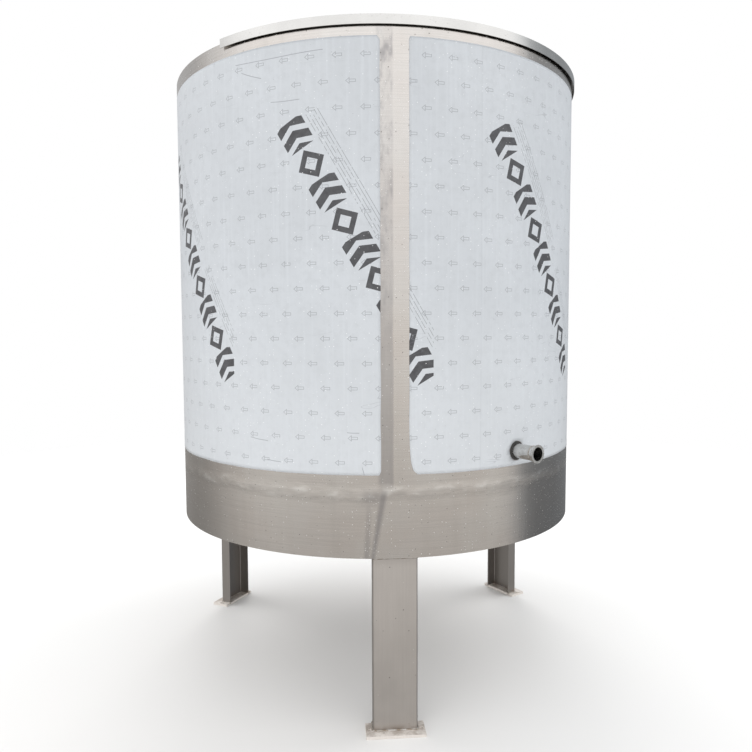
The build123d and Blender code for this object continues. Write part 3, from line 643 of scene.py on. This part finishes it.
# The slanting row of marks: its upper end, slope in degrees, size, and share of a pitch before it
MARK_TOP_Z = 2.0215
MARK_SLOPE = 59.6
MARK_LENGTH = 0.967
MARK_HALF = 0.050
MARK_COUNT = 9
MARK_STROKE = 0.028
MARK_PHASE = 0.32
CHEVRON_PITCH = 0.047
CHEVRON_SLOPE = 0.45
CHEVRON_START = 0.064
HAIRLINE_PITCH = 0.0105
HAIRLINE_WIDTH = 0.0016


def arrow_outline(finish, across, up):
    """Distance to the edge of a small hollow arrow that points left, in metres"""
    tip, neck, tail = -15.5 * MM, -4.5 * MM, 15.5 * MM
    head_half, shaft_half = 9 * MM, 4 * MM
    slope = head_half / (neck - tip)
    lean = math.cos(math.atan(slope))
    head = ((abs(up) - (across - tip) * slope) * lean).most(across - neck)
    shaft = (abs(up) - shaft_half).most(across - tail).most(-1 * (across - neck))
    return abs(head.least(shaft))


def arrow_rows(finish, s, z, shape, start):
    """Rows of hollow arrows, every other row shifted by about half a pitch"""
    rows = (z - ARROW_TOP_Z) / shape.arrow_row + 0.5
    row = rows.whole()
    odd = row.wrapped(2.0)
    half = shape.arrow_pitch / 2
    across = (s - start + odd * (half * ARROW_SHIFT) + half).wrapped(shape.arrow_pitch) - half
    up = (rows - row - 0.5) * shape.arrow_row
    return 1 - arrow_outline(finish, across, up).stepped(0.0004, 0.0011)


def diagonal_marks(finish, s, z, shape, start):
    """Bold chevrons in a slanting row, with hairline blocks beside them"""
    lean = math.radians(MARK_SLOPE)
    turn = (s - start) / shape.mark_pitch + MARK_PHASE
    near = (turn - turn.whole() - MARK_PHASE) * shape.mark_pitch
    down = MARK_TOP_Z - z
    along = near * math.cos(lean) + down * math.sin(lean)
    across = near * math.sin(lean) - down * math.cos(lean)

    # Double chevrons and hollow diamonds by turns
    pitch = MARK_LENGTH / MARK_COUNT
    cell = (along / pitch).whole()
    local = along - (cell + 0.5) * pitch
    stroke = local - abs(across) * CHEVRON_SLOPE + CHEVRON_START
    stroke = stroke.wrapped(CHEVRON_PITCH).below(MARK_STROKE)
    chevrons = stroke * abs(local).below(pitch * 0.46)
    reach = abs(local) / (pitch * 0.47) + abs(across) / MARK_HALF
    diamond = reach.below(1.0) * reach.above(0.50)
    odd = cell.wrapped(2.0)
    bold = (chevrons * (1 - odd) + diamond * odd) * abs(across).below(MARK_HALF)
    bold = bold * along.above(0.0) * along.below(MARK_LENGTH)

    # Hairlines, broken into words by a stretched noise
    line = across.wrapped(HAIRLINE_PITCH).below(HAIRLINE_WIDTH)
    row = (across / HAIRLINE_PITCH).whole()
    words = finish.clouds(finish.vector(along * 60.0, row * 3.7), 1.0, 1.0).above(0.42)
    first = across.above(0.062) * across.below(0.112) * along.above(0.02) * along.below(0.46)
    second = across.above(0.062) * across.below(0.104) * along.above(0.56) * along.below(0.88)
    fine = line * words * first.most(second)
    return bold, fine


# Scuffs on the film: where each starts round the tank, its height, its length and how steeply it falls
SCUFFS = (
    (-0.555, 2.232, 0.328, 0.006), (-0.529, 2.202, 0.083, 0.40), (-0.410, 2.089, 0.104, 0.03),
    (-0.513, 0.988, 0.073, 0.12), (-0.445, 0.917, 0.055, 0.11), (-0.157, 1.018, 0.040, 0.05),
    (-0.108, 0.903, 0.007, 3.4))


def long_scratches(finish, s, z):
    """Thin bent scuffs"""
    total = 0.0
    for start, height, length, fall in SCUFFS:
        along = (s - start) / length
        bend = finish.maths("SINE", along * 4.0) * (length * 0.014)
        off = abs(z - height + (s - start) * fall + bend) / math.sqrt(1 + fall ** 2)
        total = (1 - off.stepped(0.0005, 0.0016)) * along.above(0.0) * along.below(1.0) + total
    return total


def film_finish(name, tones, shape, arrow_start, mark_start):
    """Pale printed film with scratches, dried drops and soft creases, painted shade along one fold line and
    painted light towards the lower edge
    """
    material, finish = new_finish(name)
    vector, x, y, z = finish.place()
    s = finish.round_tank(x, y)
    flat = finish.vector(s, z)
    haze = finish.clouds(flat, 2.6, 3.0, 0.55)
    mottle = finish.clouds(flat, 34.0, 4.0, 0.7)
    streaks = finish.clouds(finish.vector(s / 0.012, z / 0.5), 1.0, 3.0, 0.6)
    bold, fine = diagonal_marks(finish, s, z, shape, mark_start)
    arrows = arrow_rows(finish, s, z, shape, arrow_start) * (1 - bold)

    # Faint scratches along the contours of a cloud texture, and the placed scuffs
    bent = finish.clouds(finish.vector(s * 1.0, z * 6.0, 2.0), 2.2, 2.0, 0.5)
    where = finish.clouds(flat, 6.0, 2.0).stepped(0.56, 0.62)
    scratch = (1 - abs(bent - 0.5).stepped(0.0006, 0.0022)) * where
    scratch = (scratch * 0.35).most(long_scratches(finish, s, z) * 0.75)
    specks = finish.dots(flat, 70.0, 0.12, haze * haze * 0.60, 1.0, True)
    grit = finish.dots(flat, 30.0, 0.035, 0.07, 4.0, True)
    # Painted shade drawn as a thin upright fold line
    painted_crease_shade = 1 - abs(s - 0.30 + (haze - 0.5) * 0.010).stepped(0.0004, 0.0040)

    colour = tones.film_colour
    tone = finish.tint(haze.stepped(0.3, 0.7), [part * 0.93 for part in colour], colour)
    tone = finish.layers(
        tone,
        (mottle.stepped(0.42, 0.72) * 0.55, [part * 0.86 for part in colour]),
        (streaks.stepped(0.45, 0.8) * 0.35, [min(1.0, part * 1.10) for part in colour]))
    # Painted light: the film is painted paler towards its lower edge
    low = 1 - z.stepped(FILM_LOW_Z, FILM_LOW_Z + 0.75)
    tone = finish.tint(low * 0.25, tone, (0.71, 0.73, 0.745))
    to_outlet = finish.length(s - OUTLET_ANGLE * JACKET_RADIUS, z - OUTLET_Z)
    tarnish = 1 - (to_outlet + (mottle - 0.5) * 0.02).stepped(0.031, 0.037)
    tone = finish.tint(tarnish * 0.65, tone, (0.19, 0.13, 0.09))
    worn = mottle * 0.20 + 0.87
    tone = finish.layers(
        tone,
        (arrows * 0.68, (0.20, 0.21, 0.23)),
        (fine * 0.72, (0.16, 0.17, 0.18)),
        (bold * worn, tones.print_colour),
        (scratch, (0.26, 0.27, 0.30)),
        (painted_crease_shade * 0.22, (0.45, 0.47, 0.50)),
        (grit * 0.6, (0.16, 0.16, 0.16)),
        (specks * 0.75, (0.95, 0.96, 0.97)))
    rough = haze * 0.10 + mottle * 0.10 + 0.24 + bold * 0.06
    folds = finish.clouds(finish.vector(s / 0.30, z / 0.9), 1.0, 2.0, 0.5)
    normal = finish.relief(
        None,
        (folds, 0.004, 0.22),
        (mottle, 0.0008, 0.30),
        (scratch + specks * 0.8, 0.0005, 0.5))
    finish.surface(tone, Roughness=rough, Normal=normal, IOR=1.48)
    return material


def soft_noise(s, z, scale, seed):
    return noise.noise(Vector((s * scale, z * scale, seed)))


def corner_cut(distance, radius):
    """How far a rounded corner pulls an edge in, at a distance along it from the corner"""
    if distance >= radius:
        return 0.0
    return radius - math.sqrt(radius ** 2 - (radius - distance) ** 2)


def film_edges(side, shape, s, z):
    """Offsets of the cut edges: at the front strip, the rear strip, below and above"""
    above_low = z - FILM_LOW_Z
    front = shape.wobble * soft_noise(0.0, z, 9.0, side) * 1.6
    front += corner_cut(FILM_HIGH_Z - z, 0.010 if side < 0 else 0.003)
    front += corner_cut(above_low, 0.006)
    if side > 0:
        front += shape.flare * math.exp(-above_low / 0.030)
    rear = shape.wobble * soft_noise(4.0, z, 9.0, side)
    low = shape.wobble * soft_noise(s, 0.0, 7.0, 2.0 + side) * 1.5
    high = shape.wobble * soft_noise(s, 9.0, 5.0, 3.0 + side)
    return front, rear, low, high


def film_height(side, s, z):
    """How far the film stands off the steel: wrinkles, a lifted corner and lifted edges"""
    lift = 0.00018 + 0.00010 * soft_noise(s, z * 0.4, 6.0, 5.0)
    near_strip = abs(s) - STRIP_HALF
    if side < 0:
        corner = math.exp(-((near_strip / 0.02) ** 2 + ((FILM_HIGH_Z - z) / 0.06) ** 2))
        lift += 0.0022 * corner
    else:
        corner = math.exp(-((near_strip / 0.03) ** 2 + ((z - FILM_LOW_Z) / 0.03) ** 2))
        lift += 0.0016 * corner
    edge = min(near_strip, FILM_HIGH_Z - z, z - FILM_LOW_Z)
    lift += 0.0005 * math.exp(-edge / 0.008) * (0.5 + soft_noise(s, z, 20.0, 8.0))
    return max(lift, 0.0001)


def on_cladding(s, z, height):
    angle = s / JACKET_RADIUS
    radius = JACKET_RADIUS + height
    return Vector((radius * math.sin(angle), -radius * math.cos(angle), z))


def outlet_gap(s, z):
    """Vector from the outlet's axis to a point of the unrolled film"""
    return Vector((s - OUTLET_ANGLE * JACKET_RADIUS, z - OUTLET_Z))


def film_sheet(side, shape):
    """One sheet of film as a grid with hand-cut edges and a hole for the outlet"""
    mesh = bpy.data.meshes.new("film")
    shell = bmesh.new()
    half_turn = math.pi * JACKET_RADIUS
    columns = int((half_turn - 2 * STRIP_HALF) / shape.step)
    rows = int((FILM_HIGH_Z - FILM_LOW_Z) / shape.step)
    flat = {}
    for row in range(rows + 1):
        for column in range(columns + 1):
            across = column / columns
            up = row / rows
            s = STRIP_HALF + across * (half_turn - 2 * STRIP_HALF)
            z = FILM_LOW_Z + up * (FILM_HIGH_Z - FILM_LOW_Z)
            front, rear, low, high = film_edges(side, shape, s, z)
            s += front * (1 - across) ** 24 - rear * across ** 24
            z += low * (1 - up) ** 12 - high * up ** 12
            vert = shell.verts.new(on_cladding(side * s, z, film_height(side, side * s, z)))
            flat[vert] = (side * s, z)
            vert.index = row * (columns + 1) + column
    shell.verts.ensure_lookup_table()
    for row in range(rows):
        for column in range(columns):
            first = row * (columns + 1) + column
            corners = [first, first + 1, first + columns + 2, first + columns + 1]
            if side < 0:
                corners.reverse()
            shell.faces.new([shell.verts[index] for index in corners])
    if side > 0:
        cut_outlet(shell, flat)
    shell.to_mesh(mesh)
    shell.free()
    return mesh


def cut_outlet(shell, flat):
    """Opens the film round the outlet and pulls the opening's edge to a circle"""
    inside = [face for face in shell.faces
              if max(outlet_gap(*flat[vert]).length for vert in face.verts) < 1.35 * FILM_HOLE]
    bmesh.ops.delete(shell, geom=inside, context="FACES")
    for vert in shell.verts:
        gap = outlet_gap(*flat[vert])
        if vert.is_boundary and gap.length < 1.4 * FILM_HOLE:
            gap.length = FILM_HOLE
            s = OUTLET_ANGLE * JACKET_RADIUS + gap.x
            vert.co = on_cladding(s, OUTLET_Z + gap.y, 0.0004)


def new_piece(name, mesh, material, body):
    """Adds a finished mesh as a piece that rides on a body"""
    piece = bpy.data.objects.new(name, mesh)
    bpy.context.scene.collection.objects.link(piece)
    if not mesh.materials:
        mesh.materials.append(material)
    for face in mesh.polygons:
        face.use_smooth = True
    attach(piece, body)
    return piece


# ---- Geometry Nodes -----------------------------------------------------------------------------

class Tree:
    """A Geometry Nodes tree with named inputs"""

    def __init__(self, name):
        self.group = bpy.data.node_groups.new(name, "GeometryNodeTree")
        self.group.interface.new_socket("Geometry", in_out="INPUT", socket_type="NodeSocketGeometry")
        self.group.interface.new_socket("Geometry", in_out="OUTPUT", socket_type="NodeSocketGeometry")
        self.inputs = self.group.nodes.new("NodeGroupInput")
        self.outputs = self.group.nodes.new("NodeGroupOutput")

    def input(self, name, kind, default):
        socket = self.group.interface.new_socket(name, in_out="INPUT", socket_type=kind)
        socket.default_value = default
        return self.inputs.outputs[name]

    def node(self, kind, settings=None, values=None):
        made = self.group.nodes.new(kind)
        for name, setting in (settings or {}).items():
            setattr(made, name, setting)
        for name, value in (values or {}).items():
            if isinstance(value, bpy.types.NodeSocket):
                self.group.links.new(value, made.inputs[name])
            else:
                made.inputs[name].default_value = value
        return made

    def finish(self, geometry, material):
        realized = self.node("GeometryNodeRealizeInstances", values={"Geometry": geometry})
        painted_mesh = self.node("GeometryNodeSetMaterial", values={
            "Geometry": realized.outputs["Geometry"], "Material": material})
        self.group.links.new(painted_mesh.outputs["Geometry"], self.outputs.inputs["Geometry"])


def run_tree(name, tree, source, sizes, body):
    """Evaluates a tree on a source object and keeps the plain mesh"""
    bpy.context.scene.collection.objects.link(source)
    modifier = source.modifiers.new(name, "NODES")
    modifier.node_group = tree.group
    for item in tree.group.interface.items_tree:
        if item.item_type == "SOCKET" and item.in_out == "INPUT" and item.name in sizes:
            modifier[item.identifier] = sizes[item.name]
    graph = bpy.context.evaluated_depsgraph_get()
    mesh = bpy.data.meshes.new_from_object(source.evaluated_get(graph), depsgraph=graph)
    source.modifiers.clear()
    bpy.data.objects.remove(source)
    mesh.name = name
    return new_piece(name, mesh, mesh.materials[0], body)


def bead_sizes(shape, ripple=1.0, bead=1.0):
    """A bead's inputs, as shares of the common sizes"""
    return {"Ripple": shape.ripple * ripple, "Bead": shape.bead * bead}


def curve_object(name, runs, closed=False):
    """Poly curves through lists of points"""
    curve = bpy.data.curves.new(name, "CURVE")
    curve.dimensions = "3D"
    for points in runs:
        spline = curve.splines.new("POLY")
        spline.points.add(len(points) - 1)
        for place, point in zip(spline.points, points):
            place.co = (*point, 1.0)
        spline.use_cyclic_u = closed
    return bpy.data.objects.new(name, curve)


def bead_tree(material):
    """Overlapping round ripples along a curve"""
    tree = Tree("weld_ripples")
    spacing = tree.input("Ripple", "NodeSocketFloat", 0.0032)
    size = tree.input("Bead", "NodeSocketFloat", 0.0042)
    along = tree.node("GeometryNodeResampleCurve", {"mode": "LENGTH"}, {
        "Curve": tree.inputs.outputs["Geometry"], "Length": spacing})
    drop = tree.node("GeometryNodeMeshUVSphere", values={"Segments": 10, "Rings": 6, "Radius": 1.0})
    jitter = tree.node("FunctionNodeRandomValue", {"data_type": "FLOAT"}, {"Seed": 7})
    jitter.inputs[2].default_value = 0.85
    jitter.inputs[3].default_value = 1.12
    scaled = tree.node("ShaderNodeMath", {"operation": "MULTIPLY"})
    tree.group.links.new(size, scaled.inputs[0])
    tree.group.links.new(jitter.outputs[1], scaled.inputs[1])
    placed = tree.node("GeometryNodeInstanceOnPoints", values={
        "Points": along.outputs["Curve"], "Instance": drop.outputs["Mesh"],
        "Scale": scaled.outputs["Value"]})
    tree.finish(placed.outputs["Instances"], material)
    return tree


def screw_tree(material):
    """An upright domed head at every point of the source"""
    tree = Tree("screw_heads")
    radius = tree.input("Radius", "NodeSocketFloat", 0.004)
    sides = tree.input("Sides", "NodeSocketInt", 16)
    body = tree.node("GeometryNodeMeshCylinder", values={
        "Vertices": sides, "Radius": radius, "Depth": 0.0022})
    dome = tree.node("GeometryNodeMeshCone", values={
        "Vertices": sides, "Radius Bottom": radius, "Radius Top": 0.002, "Depth": 0.0012})
    raised = tree.node("GeometryNodeTransform", values={
        "Geometry": dome.outputs["Mesh"], "Translation": (0, 0, 0.0011)})
    joined = tree.node("GeometryNodeJoinGeometry")
    tree.group.links.new(body.outputs["Mesh"], joined.inputs["Geometry"])
    tree.group.links.new(raised.outputs["Geometry"], joined.inputs["Geometry"])
    placed = tree.node("GeometryNodeInstanceOnPoints", values={
        "Points": tree.inputs.outputs["Geometry"], "Instance": joined.outputs["Geometry"]})
    tree.finish(placed.outputs["Instances"], material)
    return tree


# ---- Places on the tank -------------------------------------------------------------------------

UP = Vector((0, 0, 1))
ALONG_HINGE = Vector((math.sqrt(0.5), math.sqrt(0.5), 0))
TO_LID = Vector((math.sqrt(0.5), -math.sqrt(0.5), 0))
FERRULE_LENGTH = 0.0215
TUBE_RADIUS = 0.0254
LEG_TURNS = (0.0, math.radians(120), math.radians(-120))
LEG_BEND = 0.008
LEG_BEND_STEPS = 6
HANDLE_RADIUS = 0.006

# Hinge leaves, and their screws' spacing and distance from the leaves' edges
LEAF_LENGTH = 0.100
LEAF_THICKNESS = 0.0025
SCREW_STEP = 0.034
DECK_SCREW_INSET = 0.016
LID_SCREW_INSET = 0.014


def turned_box(node):
    """Lowest and highest corner of a node in the lid's frame: towards the lid, along the hinge, up"""
    spots = [vert.co for vert in frame["nodes"][node].data.vertices]
    axes = (TO_LID, ALONG_HINGE, UP)
    low = [min(spot.dot(axis) for spot in spots) for axis in axes]
    high = [max(spot.dot(axis) for spot in spots) for axis in axes]
    return low, high


def from_lid_frame(across, along, up):
    return TO_LID * across + ALONG_HINGE * along + UP * up


def ring_points(middle, axis, radius, count):
    """Evenly spaced points of a circle"""
    side = axis.orthogonal().normalized()
    other = axis.cross(side).normalized()
    turns = [2 * math.pi * step / count for step in range(count)]
    return [middle + radius * (side * math.cos(turn) + other * math.sin(turn)) for turn in turns]


def leg_outline(angle, height):
    """The outside of a folded leg from one lip round its web to the other"""
    outwards = Vector((math.sin(angle), -math.cos(angle), 0))
    sideways = Vector((math.cos(angle), math.sin(angle), 0))
    corners = [(LEG_BACK, -LEG_HALF)]
    for step in range(LEG_BEND_STEPS + 1):
        turn = math.pi / 2 * step / LEG_BEND_STEPS
        corners.append((LEG_FACE - LEG_BEND + LEG_BEND * math.sin(turn),
                        -LEG_HALF + LEG_BEND - LEG_BEND * math.cos(turn)))
    corners += [(out, -side) for out, side in reversed(corners)]
    return [outwards * out + sideways * side + UP * height for out, side in corners]


# ---- Operators ----------------------------------------------------------------------------------

class MILKTANK_OT_finishes(bpy.types.Operator):
    """Give every part of the tank its finish"""

    bl_idname = "milktank.finishes"
    bl_label = "Finishes"

    def execute(self, context):
        tones = context.scene.tank_finish
        finishes = {
            "jacket_steel": cladding_steel(tones),
            "lid_steel": sheet_steel("lid_steel", (0.66, 0.65, 0.63), 0.26, "across", 0.55),
            "vessel_steel": sheet_steel("vessel_steel", (0.70, 0.70, 0.69), 0.18, "round", 0.10),
            "fitting_steel": fitting_steel(),
            "leg_steel": leg_steel(tones),
            "fastener_steel": fitting_steel(),
            "gear_steel": gear_steel(),
            "foam": sprayed_foam(),
            "rubber": soft_rubber("seal_rubber", (0.035, 0.033, 0.03)),
            "gasket_rubber": soft_rubber("gasket_rubber", (0.42, 0.43, 0.43), 0.55),
            "copper": drawn_copper(),
            "drive_paint": painted("drive_paint", tones.drive_colour),
            "cowl_paint": painted("cowl_paint", (0.16, 0.17, 0.18), 0.45),
            "fan_plastic": soft_rubber("fan_plastic", (0.06, 0.06, 0.065), 0.42),
            "winding": motor_winding(),
            "film": soft_rubber("film_base", (0.62, 0.66, 0.70), 0.30),
        }
        # Painted light: the rim band's sheet is painted lighter than the other sheets
        own = {"rim_ring": sheet_steel("rim_band_painted_light", (0.80, 0.785, 0.76), 0.24, "round", 0.35),
               "fixed_deck": sheet_steel("deck_steel", (0.62, 0.61, 0.59), 0.26, "across", 0.30)}
        for part in frame["record"]["subparts"]:
            material = own.get(part["node"], finishes[part["material_slot"]])
            for place in frame["nodes"][part["node"]].material_slots:
                place.material = material
        return {"FINISHED"}


class MILKTANK_OT_film(bpy.types.Operator):
    """Lay the two printed sheets of protective film on the cladding"""

    bl_idname = "milktank.film"
    bl_label = "Protective film"

    def execute(self, context):
        tones = context.scene.tank_finish
        shape = context.scene.tank_film
        for side, name, arrow_start, mark_start in FILM_SHEETS:
            material = film_finish(name + "_print", tones, shape, arrow_start, mark_start)
            mesh = film_sheet(side, shape)
            sheet = new_piece(name + "_sheet", mesh, material, "tank")
            solid = sheet.modifiers.new("thickness", "SOLIDIFY")
            solid.thickness = shape.thickness
            solid.offset = 1
            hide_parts(name)
        return {"FINISHED"}


class MILKTANK_OT_beads(bpy.types.Operator):
    """Lay the fillet welds of the feet, legs, outlet and lid handle"""

    bl_idname = "milktank.beads"
    bl_label = "Weld beads"

    def execute(self, context):
        shape = context.scene.tank_welds
        tree = bead_tree(bead_steel())
        feet = [leg_outline(turn, FOOT_TOP_Z) for turn in LEG_TURNS]
        beads = run_tree("foot_welds", tree, curve_object("foot_runs", feet),
                         bead_sizes(shape), "tank")

        tops = [leg_outline(turn, BAND_LOW_Z - 0.001) for turn in LEG_TURNS]
        beads = run_tree("leg_top_welds", tree, curve_object("leg_top_runs", tops),
                         bead_sizes(shape, 1.0, 0.7), "tank")

        joint = OUTLET_OUT * (OUTLET_END - FERRULE_LENGTH) + UP * OUTLET_Z
        ring = ring_points(joint, OUTLET_OUT, TUBE_RADIUS, 48)
        bead = run_tree("outlet_weld", tree, curve_object("outlet_run", [ring], True),
                        bead_sizes(shape, 0.7, 0.42), "tank")

        low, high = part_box("lid_handle")
        posts = (Vector((low.x + HANDLE_RADIUS, low.y + HANDLE_RADIUS, low.z)),
                 Vector((high.x - HANDLE_RADIUS, high.y - HANDLE_RADIUS, low.z)))
        rings = [ring_points(post, UP, HANDLE_RADIUS, 24) for post in posts]
        handle = run_tree("handle_welds", tree, curve_object("handle_runs", rings, True),
                          bead_sizes(shape, 0.7, 0.6), "lid")
        return {"FINISHED"}


class MILKTANK_OT_screws(bpy.types.Operator):
    """Set the small screws of the two hinges"""

    bl_idname = "milktank.screws"
    bl_label = "Screws"

    def execute(self, context):
        sizes = context.scene.tank_screws
        tree = screw_tree(fitting_steel())
        deck_low, deck_high = turned_box("hinge_deck_leaves")
        lid_edge = turned_box("hinge_lid_leaves")[1][0] - LID_SCREW_INSET
        deck_edge = deck_low[0] + DECK_SCREW_INSET
        lid_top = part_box("lid")[1].z + LEAF_THICKNESS
        span = deck_high[1] - LEAF_LENGTH / 2
        along = [side * span + step for side in (-1, 1) for step in (-SCREW_STEP, 0.0, SCREW_STEP)]
        deck = [from_lid_frame(deck_edge, spot, RIM_Z + LEAF_THICKNESS) for spot in along]
        lid = [from_lid_frame(lid_edge, spot, lid_top) for spot in along]
        for name, spots, body in (("deck_hinge_screws", deck, "tank"), ("lid_hinge_screws", lid, "lid")):
            head = run_tree(name, tree, point_object(name, spots),
                            {"Radius": sizes.hinge_head, "Sides": sizes.sides}, body)
        return {"FINISHED"}


def point_object(name, spots):
    """Loose points that carry one screw each"""
    mesh = bpy.data.meshes.new(name)
    mesh.from_pydata(spots, [], [])
    return bpy.data.objects.new(name, mesh)


# ---- Stage --------------------------------------------------------------------------------------

# A plain yard: evenly open over the front, a dark shed on the right, shade behind. Each pair is
# degrees round from the front (or above the horizon) and brightness.
SURROUNDINGS = ((-180, 0.3), (-120, 0.3), (-75, 0.7), (75, 0.7), (90, 0.2), (150, 0.2), (180, 0.3))
SKY_RISE = ((-20, 0.4), (0, 0.7), (30, 1.0))
UPPER_SKY = 0.52
SKY_STRENGTH = 2.2

# Soft lamps: the place of each and its share of the fill
LAMPS = (
    ((5.5, 1.5, 4.0), 0.80), ((-5.5, 2.5, 4.0), 0.55),
    ((0.0, 6.5, 4.5), 1.0), ((-3.5, -6.0, 5.0), 0.25))
LAMP_SIZE = 4.0
LAMP_AIM = Vector((0, 0, 1.4))

# The camera's place in metres and its angles in degrees
CAMERA_PLACE = (-0.2332, -2.9963, 1.3491)
CAMERA_TURN = -4.495
CAMERA_DIP = 3.834
CAMERA_ROLL = -0.226


class MILKTANK_OT_stage(bpy.types.Operator):
    """Set the floor, the daylight and the camera"""

    bl_idname = "milktank.stage"
    bl_label = "Stage"

    def execute(self, context):
        light = context.scene.tank_stage
        self.floor(context, light)
        self.daylight(context, light)
        self.lamps(context, light)
        self.camera(context, light)
        context.scene.view_settings.view_transform = "Standard"
        return {"FINISHED"}

    def floor(self, context, light):
        shell = bmesh.new()
        bmesh.ops.create_circle(shell, cap_ends=True, segments=96, radius=light.floor_radius)
        mesh = bpy.data.meshes.new("floor")
        shell.to_mesh(mesh)
        shell.free()
        material, finish = new_finish("floor")
        _, x, y, _ = finish.place()
        distance = finish.length(x, y)
        fade = 1 - distance.stepped(light.floor_radius * 0.35, light.floor_radius * 0.98)
        finish.surface(light.floor_colour, Roughness=0.9, Alpha=fade)
        mesh.materials.append(material)
        floor = bpy.data.objects.new("floor", mesh)
        floor.visible_glossy = False
        context.scene.collection.objects.link(floor)

    def daylight(self, context, light):
        world = bpy.data.worlds.new("daylight")
        context.scene.world = world
        world.use_nodes = True
        finish = Finish(world.node_tree)
        direction = finish.node("ShaderNodeTexCoord").outputs["Generated"]
        parts = finish.node("ShaderNodeSeparateXYZ", values={"Vector": direction})
        x, y, z = [Value(finish, parts.outputs[axis]) for axis in "XYZ"]
        turn = finish.maths("ARCTAN2", x, -1 * y) / (2 * math.pi) + 0.5
        round_about = finish.node("ShaderNodeValToRGB", {"stops": [
            (place / 360 + 0.5, (level, level, level, 1)) for place, level in SURROUNDINGS]}, {"Fac": turn})
        height = z * 0.5 + 0.5
        upward = finish.node("ShaderNodeValToRGB", {"stops": [
            (math.sin(math.radians(rise)) * 0.5 + 0.5, (level, level, level, 1))
            for rise, level in SKY_RISE]}, {"Fac": height})

        # High up the sky is one even level
        even = z.stepped(0.44, 0.62)
        level = Value(finish, round_about.outputs["Color"]) * (1 - even) + even * UPPER_SKY
        level = level * Value(finish, upward.outputs["Color"])
        colour = finish.tint(z.stepped(-0.10, 0.16), light.ground_colour, (0.985, 0.99, 1.0))

        # Cooler light from the shed's side, and plain white for the camera
        shed = turn.stepped(0.70, 0.75) * (1 - turn.stepped(0.90, 1.0))
        colour = finish.tint(shed, colour, (0.9, 0.95, 1.0))
        seen = finish.node("ShaderNodeLightPath").outputs["Is Camera Ray"]
        shown = finish.tint(seen, colour, (1.0, 1.0, 1.0))
        strength = level * (1 - Value(finish, seen)) * (SKY_STRENGTH * light.sky) + Value(finish, seen)
        background = finish.node("ShaderNodeBackground", values={"Color": shown, "Strength": strength})
        output = finish.node("ShaderNodeOutputWorld")
        finish.join(output.inputs["Surface"], background.outputs["Background"])

    def lamps(self, context, light):
        for place, share in LAMPS:
            lamp = bpy.data.lights.new("lamp", "AREA")
            lamp.size = LAMP_SIZE
            lamp.energy = share * light.fill
            made = bpy.data.objects.new("lamp", lamp)
            aim = LAMP_AIM - Vector(place)
            turn = aim.to_track_quat("-Z", "Y").to_matrix().to_4x4()
            made.matrix_world = Matrix.Translation(place) @ turn
            made.visible_glossy = False
            context.scene.collection.objects.link(made)

    def camera(self, context, light):
        data = bpy.data.cameras.new("camera")
        data.sensor_width = 36.0
        data.lens = light.lens
        data.clip_end = 100.0
        made = bpy.data.objects.new("camera", data)
        made.matrix_world = (Matrix.Translation(CAMERA_PLACE)
                             @ Matrix.Rotation(math.radians(CAMERA_TURN), 4, "Z")
                             @ Matrix.Rotation(math.radians(90 - CAMERA_DIP), 4, "X")
                             @ Matrix.Rotation(math.radians(CAMERA_ROLL), 4, "Z"))
        context.scene.collection.objects.link(made)
        context.scene.camera = made


class MILKTANK_PT_panel(bpy.types.Panel):
    """Lists the tank's pieces and their sizes"""

    bl_label = "Bulk milk tank"
    bl_idname = "MILKTANK_PT_panel"
    bl_space_type = "VIEW_3D"
    bl_region_type = "UI"
    bl_category = "Milk tank"

    def draw(self, context):
        for operator in OPERATORS:
            self.layout.operator(operator.bl_idname)
        for name, group in GROUPS.items():
            box = self.layout.box()
            box.label(text=group.__doc__)
            for field in group.__annotations__:
                box.prop(getattr(context.scene, name), field)


GROUPS = {
    "tank_finish": TankFinish,
    "tank_film": FilmShape,
    "tank_welds": WeldShape,
    "tank_screws": ScrewShape,
    "tank_stage": StageLight,
}
OPERATORS = (
    MILKTANK_OT_finishes,
    MILKTANK_OT_film,
    MILKTANK_OT_beads,
    MILKTANK_OT_screws,
    MILKTANK_OT_stage,
)
CLASSES = (*GROUPS.values(), *OPERATORS, MILKTANK_PT_panel)


def register():
    for item in CLASSES:
        bpy.utils.register_class(item)
    for name, group in GROUPS.items():
        setattr(bpy.types.Scene, name, PointerProperty(type=group))


def unregister():
    for name in GROUPS:
        delattr(bpy.types.Scene, name)
    for item in reversed(CLASSES):
        bpy.utils.unregister_class(item)


def main():
    register()
    bpy.ops.milktank.finishes()
    bpy.ops.milktank.film()
    bpy.ops.milktank.beads()
    bpy.ops.milktank.screws()
    bpy.ops.milktank.stage()
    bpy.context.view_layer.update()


if __name__ == "__main__":
    main()
